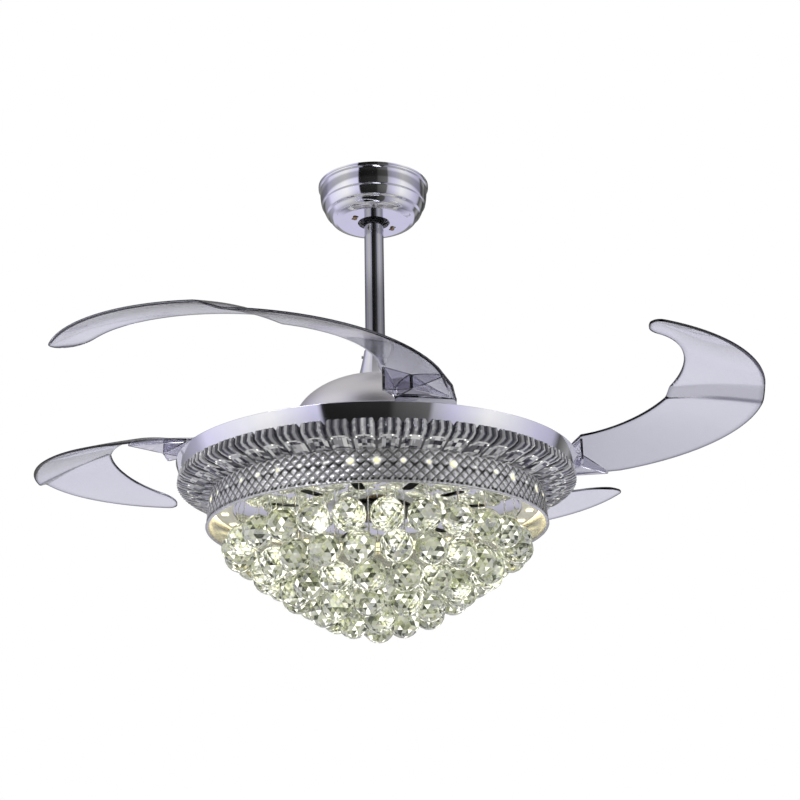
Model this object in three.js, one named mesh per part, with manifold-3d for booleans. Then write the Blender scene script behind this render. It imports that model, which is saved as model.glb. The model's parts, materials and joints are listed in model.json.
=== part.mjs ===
// Ceiling fan with four folding clear blades over a crystal lamp. Millimetres, +Z up.
// The origin is the middle of the ceiling bracket's top face, so everything hangs below z = 0.
// Heights of the motor, blades and lamp are counted from the top edge of the chrome band.
import * as THREE from "three";
import { mergeVertices } from "three/addons/utils/BufferGeometryUtils.js";
import Module from "manifold-3d";

// ---------------------------------------------------------------- driving dimensions

const gap = 0.3; // clearance between neighbouring pieces
const bandDrop = 390; // ceiling to the band's top edge

const bracketThickness = 2.5;
const bracketLength = 112;
const bracketWidth = 32;
const bracketLegSpread = 66; // over the outsides of the two legs
const seatRingInset = 6; // from the canopy's floor up to the seat ring's top
const seatRingRadius = 36;
const seatHoleRadius = 19.5;
const ceilingSlotSpacing = 90;
const ceilingSlotWidth = 5.5;
const ceilingSlotLength = 14;

const canopyRadius = 73.1;
const canopyDepth = 53;
const canopyFloorRadius = 46.7;
const canopyHoleRadius = 21;
const canopyWall = 1.2;
const canopyLip = 2.2;
const canopyScrewCircle = 29.6;
const canopyScrewAngle = 34; // degrees from +X
const canopySlotWidth = 5;
const canopySlotLength = 13;

const screwShankRadius = 1.9;
const screwHeadRadius = 3.5;
const screwHeadHeight = 2.2;

const ballRadius = 26;
const ballTopHeight = 14; // flat top over the ball's centre
const ballBottomHeight = 20; // flat bottom under the ball's centre
const crossPinRadius = 3;

const rodRadius = 12.7;
const rodWall = 1.8;

const neckHeight = 29; // cover that hides the rod's lower joint
const neckFootRadius = 23.5;
const neckTopRadius = 14.6;
const neckWall = 1.2;

const domeHeight = 57.5; // rim to flat top
const domeRimHeight = 68; // over the band's top edge
const domeRimRadius = 104;
const domeFlatRadius = 34;
const domeHoleRadius = 17.8;
const domeWall = 1.2;
const domeScrewCircle = 28.2;
const domeVentCount = 6;

const yokeSocketWall = 3;
const yokeSocketHeight = 22;
const yokeFlangeThickness = 3;
const yokeBossHeight = 17;
const yokeBossRadius = 16;

const shaftRadius = 7.5;
const shaftBore = 4.5;
const shaftShoulderRadius = 12;
const shaftShoulderHeight = 3;

const motorRadius = 88;
const motorHeight = 65;
const motorWall = 2.5;
const motorCorner = 9;
const bearingRadius = 17.5;
const bearingWidth = 11;
const magnetThickness = 6.4;
const magnetHeight = 26;
const airGap = 1;
const statorHeight = 22;
const statorTeeth = 9;
const statorToothWidth = 10;
const coilDepth = 20;
const coilThickness = 3.4;

const trayThickness = 2.5;
const trayRadius = 206;
const trayUnderBand = 3; // top of the tray under the band's top edge
const trayWindowRadius = 27;

const bladeCount = 4;
const pivotX = 178; // pivot of the first blade
const pivotY = 57;
const pivotBossRadius = 7;
const pivotBoltRadius = 4;
const pivotHeadRadius = 8;
const pivotHeadHeight = 4;
const bladeThickness = 3;
const rootRadius = 36;
const rootThickness = 4;
const rootHeight = 8.5; // underside of the blade root over the band's top edge
const rootRibThickness = 2.4;
const joggleHeight = 8;
const bladeCamber = 3;

const springWireRadius = 0.9;
const springTurns = 2.5;
const springLeg = 15;

const bandRadius = 250;
const bandHeight = 24;
const bandTaper = 8.5;
const bandWall = 1.5;
const bandTopLip = 4;
const bandFootLip = 7;

const panDepth = 12; // band's top edge to the pan's floor
const panWall = 1.5;

const skirtBlocks = 52;
const skirtHeight = 17.4;
const skirtReach = 6.5; // how far the blocks stand out past the band's foot
const skirtGroove = 5;

const drumInset = 48.5; // from the band's edge in to the drum
const drumDepth = 57.2; // band's top edge to the drum's foot
const drumWall = 1.2;
const drumTopLip = 13;
const drumFootLip = 31;

const latticeTopReach = 6.5; // out from the drum
const latticeFootReach = 9;
const latticeHeight = 40;
const latticeWall = 2.6;
const latticeDiamonds = 28;
const latticeRows = 3;
const latticeDent = 1.3;
const latticeRim = 3;

const ledStripWidth = 8;
const ledStripThickness = 1.4;
const ledBoardWidth = 21;
const ledBoardThickness = 1.2;
const ledBoardInset = 2; // from the drum in to the board
const ledCount = 12;
const ledSize = 8;

const mirrorThickness = 1.5;
const mirrorInset = 2.5; // from the board in to the mirror
const mirrorPlates = 4;
const mirrorSeam = 34.2; // degrees from +X to the first seam, clear of every wire
const mirrorSlots = 8;
const centrePlateRadius = 46.5;
const centrePlateThickness = 1.2;
const centrePlateOverlap = 3.5; // how far the mirrors lie on the centre plate
const nutFlats = 24; // across flats
const nutHeight = 6.2;

const crystalRadius = 20;
const crystalWireRadius = 0.8;
const outerTierInset = 4; // from the mirror's edge in to the outermost wires
const innerTierRadius = 30;
const tierCount = 5;
const crystalSides = 5;
const crystalSpacing = 1.8; // between neighbours in a ring

const driverPlace = -100; // along X
const driverLength = 96;
const driverWidth = 52;
const driverHeight = 26;
const receiverPlace = 104;
const receiverLength = 86;
const receiverWidth = 44;
const receiverHeight = 24;

// sides of the faceted round pieces, from the lamp's rings down to the screws
const ringSides = 30;
const roundSides = 20;
const smallSides = 12;
const pinSides = 8;
const tinySides = 6;

// ---------------------------------------------------------------- derived radii and heights

const seatRingDepth = canopyDepth - seatRingInset;
const drumRadius = bandRadius - drumInset;
const latticeTopRadius = drumRadius + latticeTopReach;
const latticeFootRadius = drumRadius + latticeFootReach;
const ledBoardRadius = drumRadius - ledBoardInset;
const mirrorRadius = ledBoardRadius - ledBoardWidth - mirrorInset;
const mirrorHoleRadius = centrePlateRadius - centrePlateOverlap;
const outerTierRadius = mirrorRadius - outerTierInset;
const tierStep = (outerTierRadius - innerTierRadius) / (tierCount - 1);

const bandTop = -bandDrop;
const seatTop = -seatRingDepth;
const ballCentre = seatTop + Math.sqrt((ballRadius + gap) ** 2 - seatHoleRadius ** 2);
const domeRim = bandTop + domeRimHeight;
const domeTop = domeRim + domeHeight;
const yokeFlangeTop = domeTop - domeWall - gap;
const yokeFloor = yokeFlangeTop - yokeFlangeThickness;
const rodFoot = yokeFloor + 1.3;
const trayTop = bandTop - trayUnderBand;
const trayFoot = trayTop - trayThickness;
const motorFoot = trayTop + gap;
const motorTop = motorFoot + motorHeight;
const motorSplit = motorFoot + 0.46 * motorHeight;
const panTop = bandTop - panDepth;
const panFoot = panTop - panWall;
const bandFoot = bandTop - bandHeight;
const skirtTop = bandFoot - gap;
const skirtFoot = skirtTop - skirtHeight;
const latticeTop = skirtFoot - gap;
const latticeFoot = latticeTop - latticeHeight;
const drumFoot = bandTop - drumDepth;
const mirrorTop = drumFoot - gap;
const mirrorFoot = mirrorTop - mirrorThickness;
const centrePlateTop = mirrorFoot - gap;
const centrePlateFoot = centrePlateTop - centrePlateThickness;
const rootFoot = bandTop + rootHeight;
const rootTop = rootFoot + rootThickness;

// ---------------------------------------------------------------- shaping tools

const wasm = await Module();
wasm.setup();
const { Manifold, Mesh } = wasm;

// A closed three.js geometry as a solid that can be joined and cut.
function solid(geometry) {
  const bare = geometry.index ? geometry.toNonIndexed() : geometry.clone();
  bare.deleteAttribute("normal");
  bare.deleteAttribute("uv");
  const merged = mergeVertices(bare, 1e-4);
  const corners = merged.index.array;
  const faces = [];
  for (let i = 0; i < corners.length; i += 3) {
    const face = [corners[i], corners[i + 1], corners[i + 2]];
    if (new Set(face).size === 3) faces.push(...face);
  }
  const vertProperties = merged.attributes.position.array;
  return new Manifold(new Mesh({ numProp: 3, vertProperties, triVerts: new Uint32Array(faces) }));
}

function join(...shapes) {
  return Manifold.union(shapes.flat());
}

function radians(degrees) {
  return (degrees * Math.PI) / 180;
}

// A point at a radius and an angle in degrees.
function polar(radius, degrees) {
  return [radius * Math.cos(radians(degrees)), radius * Math.sin(radians(degrees))];
}

// Turns a closed profile of [radius, height] points round the Z axis.
function turned(profile, sides = roundSides) {
  const points = profile.map(([r, z]) => new THREE.Vector2(r, z));
  if (THREE.ShapeUtils.area(points) < 0) points.reverse();
  points.push(points[0].clone());
  return solid(new THREE.LatheGeometry(points, sides).rotateX(Math.PI / 2));
}

// A plain ring or, with no inner radius, a disc.
function ring(outer, inner, foot, top, sides = roundSides) {
  return turned([[inner, foot], [outer, foot], [outer, top], [inner, top]], sides);
}

// The radius of a faceted hole that leaves the clearance round a round piece.
function boreRadius(radius, sides) {
  return (radius + gap) / Math.cos(Math.PI / sides);
}

function rod(radius, foot, top, sides = smallSides) {
  const geometry = new THREE.CylinderGeometry(radius, radius, top - foot, sides);
  return solid(geometry.rotateX(Math.PI / 2).translate(0, 0, (top + foot) / 2));
}

// A cutter for the clearance hole of a pin or screw.
function hole(radius, foot, top, sides = tinySides) {
  return rod(boreRadius(radius, sides), foot, top, sides);
}

function box(x, y, z, width, depth, height) {
  return solid(new THREE.BoxGeometry(width, depth, height).translate(x, y, z));
}

// An outline pushed up from a height, with its holes.
function slab(shape, foot, thickness, curveSegments = 12) {
  const options = { depth: thickness, bevelEnabled: false, curveSegments };
  return solid(new THREE.ExtrudeGeometry(shape, options).translate(0, 0, foot));
}

// A slot with round ends, long along X.
function slotShape(length, width) {
  const half = (length - width) / 2;
  const shape = new THREE.Shape();
  shape.absarc(half, 0, width / 2, -Math.PI / 2, Math.PI / 2, false);
  shape.absarc(-half, 0, width / 2, Math.PI / 2, (3 * Math.PI) / 2, false);
  return shape;
}

// A sheet of even thickness on the left side of a path of [radius, height] points.
function sheet(path, wall) {
  const inner = path.map((point, i) => {
    const before = path[Math.max(i - 1, 0)];
    const after = path[Math.min(i + 1, path.length - 1)];
    const a = i > 0 ? direction(before, point) : direction(point, after);
    const b = i < path.length - 1 ? direction(point, after) : a;
    const miter = [-(a[1] + b[1]), a[0] + b[0]];
    const scale = wall / (1 + a[0] * b[0] + a[1] * b[1]);
    return [point[0] + miter[0] * scale, point[1] + miter[1] * scale];
  });
  return [...path, ...inner.reverse()];
}

function direction(from, to) {
  const length = Math.hypot(to[0] - from[0], to[1] - from[1]);
  return [(to[0] - from[0]) / length, (to[1] - from[1]) / length];
}

// A ring made of loops of [radius, height] points, one for each step round. The ridges of
// neighbouring loops join crosswise where the step and the point number add up to an even number.
function facetedRing(steps, loopAt) {
  const positions = [];
  const place = ([r, z], step) => [...polar(r, (360 * step) / steps), z];
  for (let i = 0; i < steps; i += 1) {
    const here = loopAt(i).map((point) => place(point, i));
    const next = loopAt((i + 1) % steps).map((point) => place(point, (i + 1) % steps));
    for (let j = 0; j < here.length; j += 1) {
      const k = (j + 1) % here.length;
      const even = (i + j) % 2 === 0;
      const first = even ? [here[j], next[j], next[k]] : [here[j], next[j], here[k]];
      const second = even ? [here[j], next[k], here[k]] : [next[j], next[k], here[k]];
      positions.push(...first.flat(), ...second.flat());
    }
  }
  return fromTriangles(positions);
}

// A closed skin through loops of points in space; the two end loops are closed like a ladder.
function lofted(loops) {
  const positions = [];
  const quad = (a, b, c, d) => positions.push(...a, ...b, ...c, ...a, ...c, ...d);
  for (let i = 0; i < loops.length - 1; i += 1) {
    const [near, far] = [loops[i], loops[i + 1]];
    near.forEach((point, j) => {
      const k = (j + 1) % near.length;
      quad(point, near[k], far[k], far[j]);
    });
  }
  const first = loops[0];
  const last = loops[loops.length - 1];
  const end = first.length - 1;
  for (let j = 0; j < (end - 1) / 2; j += 1) {
    quad(first[j + 1], first[j], first[end - j], first[end - 1 - j]);
    quad(last[j], last[j + 1], last[end - 1 - j], last[end - j]);
  }
  return fromTriangles(positions);
}

function fromTriangles(positions) {
  const geometry = new THREE.BufferGeometry();
  geometry.setAttribute("position", new THREE.Float32BufferAttribute(positions, 3));
  return solid(geometry);
}

function hexagon(flats) {
  const shape = new THREE.Shape();
  for (let i = 0; i < 6; i += 1) {
    const [x, y] = polar(flats / Math.sqrt(3), 60 * i);
    if (i === 0) shape.moveTo(x, y);
    else shape.lineTo(x, y);
  }
  return shape;
}

function finish(color, roughness, metalness, opacity = 1) {
  return new THREE.MeshStandardMaterial({
    color,
    roughness,
    metalness,
    opacity,
    transparent: opacity < 1,
  });
}

const chrome = () => finish(0xd8d8de, 0.08, 1);
const satin = () => finish(0xa8a29c, 0.32, 1);
const steel = () => finish(0x9a9ca0, 0.4, 1);
const zinc = () => finish(0xb9bbb8, 0.35, 1);
const castAluminium = () => finish(0x8e9093, 0.55, 0.9);
const clearPlastic = () => finish(0xc9c8d8, 0.08, 0, 0.45);
const crystal = () => finish(0xe4e6cf, 0.03, 0, 0.5);
const silver = () => finish(0xcfcfd4, 0.25, 0.9);
const blackPaint = () => finish(0x16140f, 0.45, 0.1);
const whitePlastic = () => finish(0xe8e8e2, 0.5, 0);

const fan = new THREE.Group();

function add(name, shape, material) {
  const { vertProperties, triVerts } = shape.getMesh();
  const geometry = new THREE.BufferGeometry();
  geometry.setAttribute("position", new THREE.BufferAttribute(vertProperties, 3));
  geometry.setIndex(new THREE.BufferAttribute(triVerts, 1));
  const mesh = new THREE.Mesh(geometry, material);
  mesh.name = name;
  fan.add(mesh);
  return mesh;
}

// ---------------------------------------------------------------- ceiling bracket and canopy

function canopyScrewPlace(side) {
  return polar(canopyScrewCircle, canopyScrewAngle + 180 * side);
}

function ceilingBracket() {
  const strap = box(0, 0, -bracketThickness / 2, bracketLength, bracketWidth, bracketThickness);
  const outline = slotShape(ceilingSlotLength, ceilingSlotWidth);
  const slot = slab(outline, -2 * bracketThickness, 3 * bracketThickness, 4);
  const slots = [-1, 1].map((side) => slot.translate([(side * ceilingSlotSpacing) / 2, 0, 0]));
  const legHeight = seatRingDepth;
  const legs = [-1, 1].map((side) => {
    const x = side * (bracketLegSpread - bracketThickness) / 2;
    return box(x, 0, -legHeight / 2, bracketThickness, bracketWidth, legHeight);
  });
  const ringFoot = seatTop - bracketThickness;
  const seat = ring(seatRingRadius, seatHoleRadius, ringFoot, seatTop);
  const holes = [0, 1].map((side) => {
    const [x, y] = canopyScrewPlace(side);
    return hole(screwShankRadius, ringFoot - 1, seatTop + 1).translate([x, y, 0]);
  });
  return join(strap, legs, seat).subtract(join(slots, holes));
}

// Side of the canopy from its rim to its floor: a lip, then a bowl with two soft steps.
function canopySide() {
  const depth = (share) => -share * canopyDepth;
  const belly = canopyRadius - canopyLip - canopyFloorRadius;
  const bowl = (share) => canopyFloorRadius + belly * Math.sqrt(1 - ((share - 0.12) / 0.88) ** 2.2);
  const step = 1.4;
  return [
    [canopyRadius, -gap],
    [canopyRadius, depth(0.08)],
    [canopyRadius - canopyLip, depth(0.12)],
    [bowl(0.34), depth(0.34)],
    [bowl(0.52), depth(0.52)],
    [bowl(0.52) - step, depth(0.55)],
    [bowl(0.76) - step, depth(0.76)],
    [bowl(0.76) - 2 * step, depth(0.79)],
    [bowl(0.96) - step, depth(0.97)],
    [canopyFloorRadius, depth(1)],
    [canopyHoleRadius, depth(1)],
  ];
}

function canopy() {
  const bowl = turned(sheet(canopySide().reverse(), canopyWall));
  const slot = slab(slotShape(canopySlotLength, canopySlotWidth), -canopyDepth - 1, canopyWall + 2, 4);
  const slots = [0, 1].map((side) => {
    const [x, y] = canopyScrewPlace(side);
    return slot.rotate([0, 0, canopyScrewAngle + 90]).translate([x, y, 0]);
  });
  return bowl.subtract(join(slots));
}

function panScrew(shankLength) {
  const topRadius = 0.7 * screwHeadRadius;
  const side = [[0, -screwHeadHeight], [topRadius, -screwHeadHeight], [screwHeadRadius, 0], [0, 0]];
  const head = turned(side, tinySides);
  return join(head, rod(screwShankRadius, -0.5, shankLength, tinySides));
}

// ---------------------------------------------------------------- hanger ball and downrod

function crossPin(length, angle = 0) {
  const pin = rod(crossPinRadius, -length / 2, length / 2, pinSides);
  return pin.rotate([0, 90, 0]).rotate([0, 0, angle]);
}

// The clearance hole round a cross pin.
function crossHole(length, angle = 0) {
  const cutter = hole(crossPinRadius, -length / 2, length / 2, pinSides);
  return cutter.rotate([0, 90, 0]).rotate([0, 0, angle]);
}

function ballEdge(height) {
  return Math.sqrt(ballRadius ** 2 - height ** 2);
}

function hangerBall() {
  const steps = 6;
  const side = Array.from({ length: steps + 1 }, (_, i) => {
    const height = -ballBottomHeight + ((ballTopHeight + ballBottomHeight) * i) / steps;
    return [ballEdge(height), height];
  });
  const bore = boreRadius(rodRadius, smallSides);
  const ball = turned([[bore, -ballBottomHeight], ...side, [bore, ballTopHeight]], smallSides);
  return ball.subtract(crossHole(3 * ballRadius)).translate([0, 0, ballCentre]);
}

const yokePinHeight = yokeFloor + 0.6 * yokeSocketHeight;

function downrod() {
  const tube = ring(rodRadius, rodRadius - rodWall, rodFoot, ballCentre + ballTopHeight);
  const ballHole = crossHole(4 * rodRadius).translate([0, 0, ballCentre]);
  const yokeHole = crossHole(4 * rodRadius, 90).translate([0, 0, yokePinHeight]);
  return tube.subtract(join(ballHole, yokeHole));
}

// ---------------------------------------------------------------- neck cover, yoke and dome

const neckFoot = domeTop + gap;

function neckCover() {
  const side = [
    [boreRadius(rodRadius, smallSides), neckFoot + neckHeight],
    [neckTopRadius, neckFoot + neckHeight],
    [neckTopRadius + 2.4, neckFoot + neckHeight - 5],
    [neckTopRadius + 3.9, neckFoot + 0.4 * neckHeight],
    [neckFootRadius, neckFoot + 2],
    [neckFootRadius, neckFoot],
  ];
  const bell = turned(sheet(side, -neckWall), smallSides);
  const screwHole = hole(screwShankRadius, 0, 2 * neckFootRadius).rotate([0, -90, 0]);
  return bell.subtract(screwHole.translate([0, 0, neckScrewHeight()]));
}

function neckScrewHeight() {
  return neckFoot + 0.72 * neckHeight;
}

// The grub screw that holds the neck cover on the rod.
function neckScrew() {
  const length = neckTopRadius + 3 - rodRadius;
  const screw = rod(screwShankRadius, 0, length, tinySides);
  return screw.rotate([0, -90, 0]).translate([-rodRadius - gap, 0, neckScrewHeight()]);
}

function motorYoke() {
  const socketBore = boreRadius(rodRadius, smallSides);
  const bossFoot = yokeFloor - yokeBossHeight;
  const shaftBoreRadius = boreRadius(shaftRadius, smallSides);
  const body = turned([
    [shaftBoreRadius, bossFoot],
    [yokeBossRadius, bossFoot],
    [yokeBossRadius, yokeFloor],
    [domeFlatRadius, yokeFloor],
    [domeFlatRadius, yokeFlangeTop],
    [socketBore + yokeSocketWall, yokeFlangeTop],
    [socketBore + yokeSocketWall, yokeFloor + yokeSocketHeight],
    [socketBore, yokeFloor + yokeSocketHeight],
    [socketBore, yokeFloor + 1],
    [shaftBore, yokeFloor + 1],
    [shaftBore, yokeFloor - 2],
    [shaftBoreRadius, yokeFloor - 2],
  ], smallSides);
  const pinHole = crossHole(6 * rodRadius, 90).translate([0, 0, yokePinHeight]);
  const screwHole = hole(screwShankRadius, yokeFloor - 1, domeTop);
  const screwHoles = aroundDome((x, y) => screwHole.translate([x, y, 0]));
  return body.subtract(join(pinHole, screwHoles));
}

function aroundDome(make) {
  return [0, 1, 2].map((i) => make(...polar(domeScrewCircle, 150 + 120 * i)));
}

// The dome's side from its flat top to its rim, a bowl that steepens outwards.
function domeSide() {
  const reach = domeRimRadius - domeFlatRadius;
  const fall = (share) => domeTop - domeHeight * (1 - Math.sqrt(1 - share ** 2.3)) ** 0.9;
  const bowl = [0.32, 0.56, 0.76, 0.91, 1].map((share) => {
    return [domeFlatRadius + reach * share, fall(share)];
  });
  return [[domeHoleRadius, domeTop], [domeFlatRadius, domeTop], ...bowl];
}

function domeCover() {
  const bowl = turned(sheet(domeSide(), -domeWall));
  const vents = Array.from({ length: domeVentCount }, (_, i) => {
    const vent = box(domeFlatRadius + 9, 0, domeTop - 4, 8, 2.6, 20);
    return vent.rotate([0, 0, (360 * i) / domeVentCount + 30]);
  });
  const screwHole = hole(screwShankRadius, domeTop - 5, domeTop + 5);
  const holes = aroundDome((x, y) => screwHole.translate([x, y, 0]));
  return bowl.subtract(join(vents, holes));
}

function motorShaft() {
  const top = yokeFloor - 2 - gap;
  const foot = centrePlateFoot - nutHeight - 3;
  const shoulderFoot = panTop + gap;
  const shoulderTop = shoulderFoot + shaftShoulderHeight;
  return turned([
    [shaftBore, foot],
    [shaftRadius, foot],
    [shaftRadius, shoulderFoot],
    [shaftShoulderRadius, shoulderFoot],
    [shaftShoulderRadius, shoulderTop],
    [shaftRadius, shoulderTop],
    [shaftRadius, top],
    [shaftBore, top],
  ], smallSides);
}

// ---------------------------------------------------------------- motor

const shellInside = motorRadius - motorWall;
const magnetInside = shellInside - gap - magnetThickness;
const statorRadius = magnetInside - airGap;
const statorMiddle = (motorFoot + motorTop) / 2 - 1;

// Half of the motor's case, drawn as the lower half; lip is the height of its open edge.
function shellProfile(foot, lip, up) {
  const at = (height) => foot + up * height;
  const hub = boreRadius(bearingRadius, roundSides);
  return [
    [shaftRadius + 1, at(0)],
    [motorRadius - motorCorner, at(0)],
    [motorRadius - motorCorner * 0.35, at(motorCorner * 0.3)],
    [motorRadius, at(motorCorner)],
    [motorRadius, lip],
    [shellInside, lip],
    [shellInside, at(motorCorner + 1)],
    [motorRadius - motorCorner - 1, at(motorWall)],
    [hub + motorWall, at(motorWall)],
    [hub + motorWall, at(motorWall + bearingWidth)],
    [hub, at(motorWall + bearingWidth)],
    [hub, at(motorWall)],
    [shaftRadius + 1, at(motorWall)],
  ];
}

function bearing(foot) {
  return turned([
    [boreRadius(shaftRadius, smallSides), foot],
    [bearingRadius, foot],
    [bearingRadius, foot + bearingWidth],
    [boreRadius(shaftRadius, smallSides), foot + bearingWidth],
  ], smallSides);
}

function trayScrewPlaces() {
  return Array.from({ length: 4 }, (_, i) => polar(0.6 * motorRadius, 90 * i));
}

function lowerShell() {
  const shell = turned(shellProfile(motorFoot, motorSplit, 1));
  const cutter = hole(screwShankRadius, motorFoot - 1, motorFoot + 2 * motorWall);
  const holes = trayScrewPlaces().map(([x, y]) => cutter.translate([x, y, 0]));
  return shell.subtract(join(holes));
}

function magnetRing() {
  const foot = statorMiddle - magnetHeight / 2;
  return ring(shellInside - gap, magnetInside, foot, foot + magnetHeight);
}

function statorCore() {
  const hubRadius = statorRadius - coilDepth - 12;
  const half = radians(180 / statorTeeth);
  const shape = new THREE.Shape();
  for (let i = 0; i < statorTeeth; i += 1) {
    const middle = 2 * half * i;
    const toothSide = (radius) => Math.asin(statorToothWidth / 2 / radius);
    const shoe = 0.8 * half;
    const shoeFoot = statorRadius - 4;
    const corners = [
      [hubRadius, -toothSide(hubRadius)],
      [shoeFoot, -toothSide(shoeFoot)],
      [statorRadius - 2, -shoe],
      [statorRadius, -shoe],
      [statorRadius, shoe],
      [statorRadius - 2, shoe],
      [shoeFoot, toothSide(shoeFoot)],
      [hubRadius, toothSide(hubRadius)],
    ];
    corners.forEach(([radius, turn], j) => {
      const [x, y] = [radius * Math.cos(middle + turn), radius * Math.sin(middle + turn)];
      if (i === 0 && j === 0) shape.moveTo(x, y);
      else shape.lineTo(x, y);
    });
  }
  shape.holes.push(new THREE.Path().absarc(0, 0, boreRadius(shaftRadius, 24), 0, 2 * Math.PI, true));
  return slab(shape, statorMiddle - statorHeight / 2, statorHeight);
}

function statorWinding() {
  const inner = statorRadius - coilDepth - 8;
  const outer = inner + coilDepth;
  const middle = (inner + outer) / 2;
  const width = statorToothWidth + 2 * coilThickness;
  const height = statorHeight + 2 * coilThickness;
  const toothRoom = [statorToothWidth + 2 * gap, statorHeight + 2 * gap];
  const window = box(middle, 0, statorMiddle, 2 * coilDepth, ...toothRoom);
  const coil = box(middle, 0, statorMiddle, coilDepth, width, height).subtract(window);
  const coils = Array.from({ length: statorTeeth }, (_, i) => coil.rotate([0, 0, (360 * i) / statorTeeth]));
  const busFoot = statorMiddle + height / 2 - 1;
  return join(coils, ring(inner + 6, inner + 1, busFoot, busFoot + 2.5));
}

// ---------------------------------------------------------------- blade tray and pivots

function pivotTurn(index) {
  return (-360 / bladeCount) * index;
}

function trayScrew() {
  return panScrew(trayThickness + gap + 2).translate([0, 0, trayFoot - gap]);
}

function bladeTray() {
  const disc = ring(trayRadius, shaftShoulderRadius + 6, trayFoot, trayTop, ringSides);
  const atPivot = (shape) => Array.from({ length: bladeCount }, (_, i) => {
    return shape.translate([pivotX, pivotY, 0]).rotate([0, 0, pivotTurn(i)]);
  });
  const bosses = atPivot(rod(pivotBossRadius, trayTop - 1, rootFoot - gap, pinSides));
  const bores = atPivot(hole(pivotBoltRadius, trayFoot - 1, rootFoot + 1, pinSides));
  const between = (motorRadius + trayRadius) / 2;
  const pivotAngle = THREE.MathUtils.radToDeg(Math.atan2(pivotY, pivotX));
  const windows = Array.from({ length: bladeCount }, (_, i) => {
    const [x, y] = polar(between, pivotAngle + 180 / bladeCount + (360 * i) / bladeCount);
    return rod(trayWindowRadius, trayFoot - 1, trayTop + 1, smallSides).translate([x, y, 0]);
  });
  const screwHole = hole(screwShankRadius, trayFoot - 1, trayTop + 1);
  const screws = trayScrewPlaces().map(([x, y]) => screwHole.translate([x, y, 0]));
  return join(disc, bosses).subtract(join(bores, windows, screws));
}

function pivotBolt() {
  const headFoot = rootTop + gap;
  const head = slab(hexagon(pivotHeadRadius * Math.sqrt(3)), headFoot, pivotHeadHeight);
  const shank = rod(pivotBoltRadius, trayFoot - 5, headFoot + 1, pinSides);
  return join(head, shank).translate([pivotX, pivotY, 0]);
}

function pivotNut() {
  const top = trayFoot - gap;
  const bore = hole(pivotBoltRadius, top - 6, top + 1, pinSides);
  return slab(hexagon(12.5), top - 4, 4).subtract(bore).translate([pivotX, pivotY, 0]);
}

// A torsion spring: an even helix round the pivot boss with a straight leg at each end.
class SpringCurve extends THREE.Curve {
  constructor(radius, foot, rise) {
    super();
    Object.assign(this, { radius, foot, rise });
    this.coilLength = 2 * Math.PI * radius * springTurns;
    this.length = this.coilLength + 2 * springLeg;
  }

  getPoint(share, target = new THREE.Vector3()) {
    const way = share * this.length - springLeg;
    const along = THREE.MathUtils.clamp(way, 0, this.coilLength);
    const angle = along / this.radius;
    const leg = way - along;
    const height = this.foot + (this.rise * along) / this.coilLength;
    return target.set(
      this.radius * Math.cos(angle) - leg * Math.sin(angle),
      this.radius * Math.sin(angle) + leg * Math.cos(angle),
      height,
    );
  }
}

function returnSpring() {
  const room = rootFoot - trayTop - 2 * gap - 2 * springWireRadius;
  const radius = pivotBossRadius + gap + springWireRadius + 0.6;
  const foot = trayTop + gap + springWireRadius;
  const curve = new SpringCurve(radius, foot, room);
  const section = new THREE.Shape(
    Array.from({ length: 5 }, (_, i) => new THREE.Vector2(...polar(springWireRadius, 72 * i))),
  );
  const steps = Math.round((8 * springTurns * curve.length) / curve.coilLength);
  const wire = new THREE.ExtrudeGeometry(section, { extrudePath: curve, steps });
  return solid(wire).rotate([0, 0, 200]).translate([pivotX, pivotY, 0]);
}

// ---------------------------------------------------------------- blades

// Outer edge: a short straight arm, then a round arc. Inner edge: an ellipse.
const outerArc = { x: 228.5, y: -140.3, radius: 226.6, from: 67, to: -73 };
const innerArc = { x: 255, y: -161.4, wide: 102.7, long: 163.5, from: 88, to: -70 };
const armOuter = { x: 262, y: 85 };
const armShare = 0.12; // share of the blade's run in which the outer edge is straight
const joggleShare = 0.43;
const rootInner = { x: 229, y: 21 };
const rootOuter = { x: 218, y: 91 };

function outerShare(v) {
  const w = Math.max(v - armShare, 0) / (1 - armShare);
  return w + 0.76 * w * (1 - w);
}

function outerEdge(v) {
  const angle = radians(THREE.MathUtils.lerp(outerArc.from, outerArc.to, outerShare(v)));
  const x = outerArc.x + outerArc.radius * Math.cos(angle);
  const y = outerArc.y + outerArc.radius * Math.sin(angle);
  if (v >= armShare) return [x, y];
  const w = v / armShare;
  return [THREE.MathUtils.lerp(armOuter.x, x, w), THREE.MathUtils.lerp(armOuter.y, y, w)];
}

function innerEdge(v) {
  const angle = radians(THREE.MathUtils.lerp(innerArc.from, innerArc.to, v));
  return [innerArc.x + innerArc.wide * Math.cos(angle), innerArc.y + innerArc.long * Math.sin(angle)];
}

function joggle(v) {
  return joggleHeight * THREE.MathUtils.smoothstep(v, joggleShare - 0.022, joggleShare + 0.022);
}

// Heights of the two edges over the band's top edge.
function outerHeight(v) {
  return 12 + 30 * outerShare(v) + joggle(v);
}

function innerHeight(v) {
  return 39 + 15 * Math.sin((Math.PI * v) / 1.15) + joggle(v);
}

// One cross section of the blade: top points from the inner to the outer edge, then the bottom ones.
function bladeSection(inner, outer, innerZ, outerZ, camber = 0, across = 2, thickness = bladeThickness) {
  const row = Array.from({ length: across + 1 }, (_, i) => {
    const t = i / across;
    const bow = camber * Math.sin(Math.PI * t);
    return [
      THREE.MathUtils.lerp(inner[0], outer[0], t),
      THREE.MathUtils.lerp(inner[1], outer[1], t),
      bandTop + THREE.MathUtils.lerp(innerZ, outerZ, t) + bow,
    ];
  });
  const lift = (points, by) => points.map(([x, y, z]) => [x, y, z + by]);
  return [...lift(row, thickness / 2), ...lift(row, -thickness / 2).reverse()];
}

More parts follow.
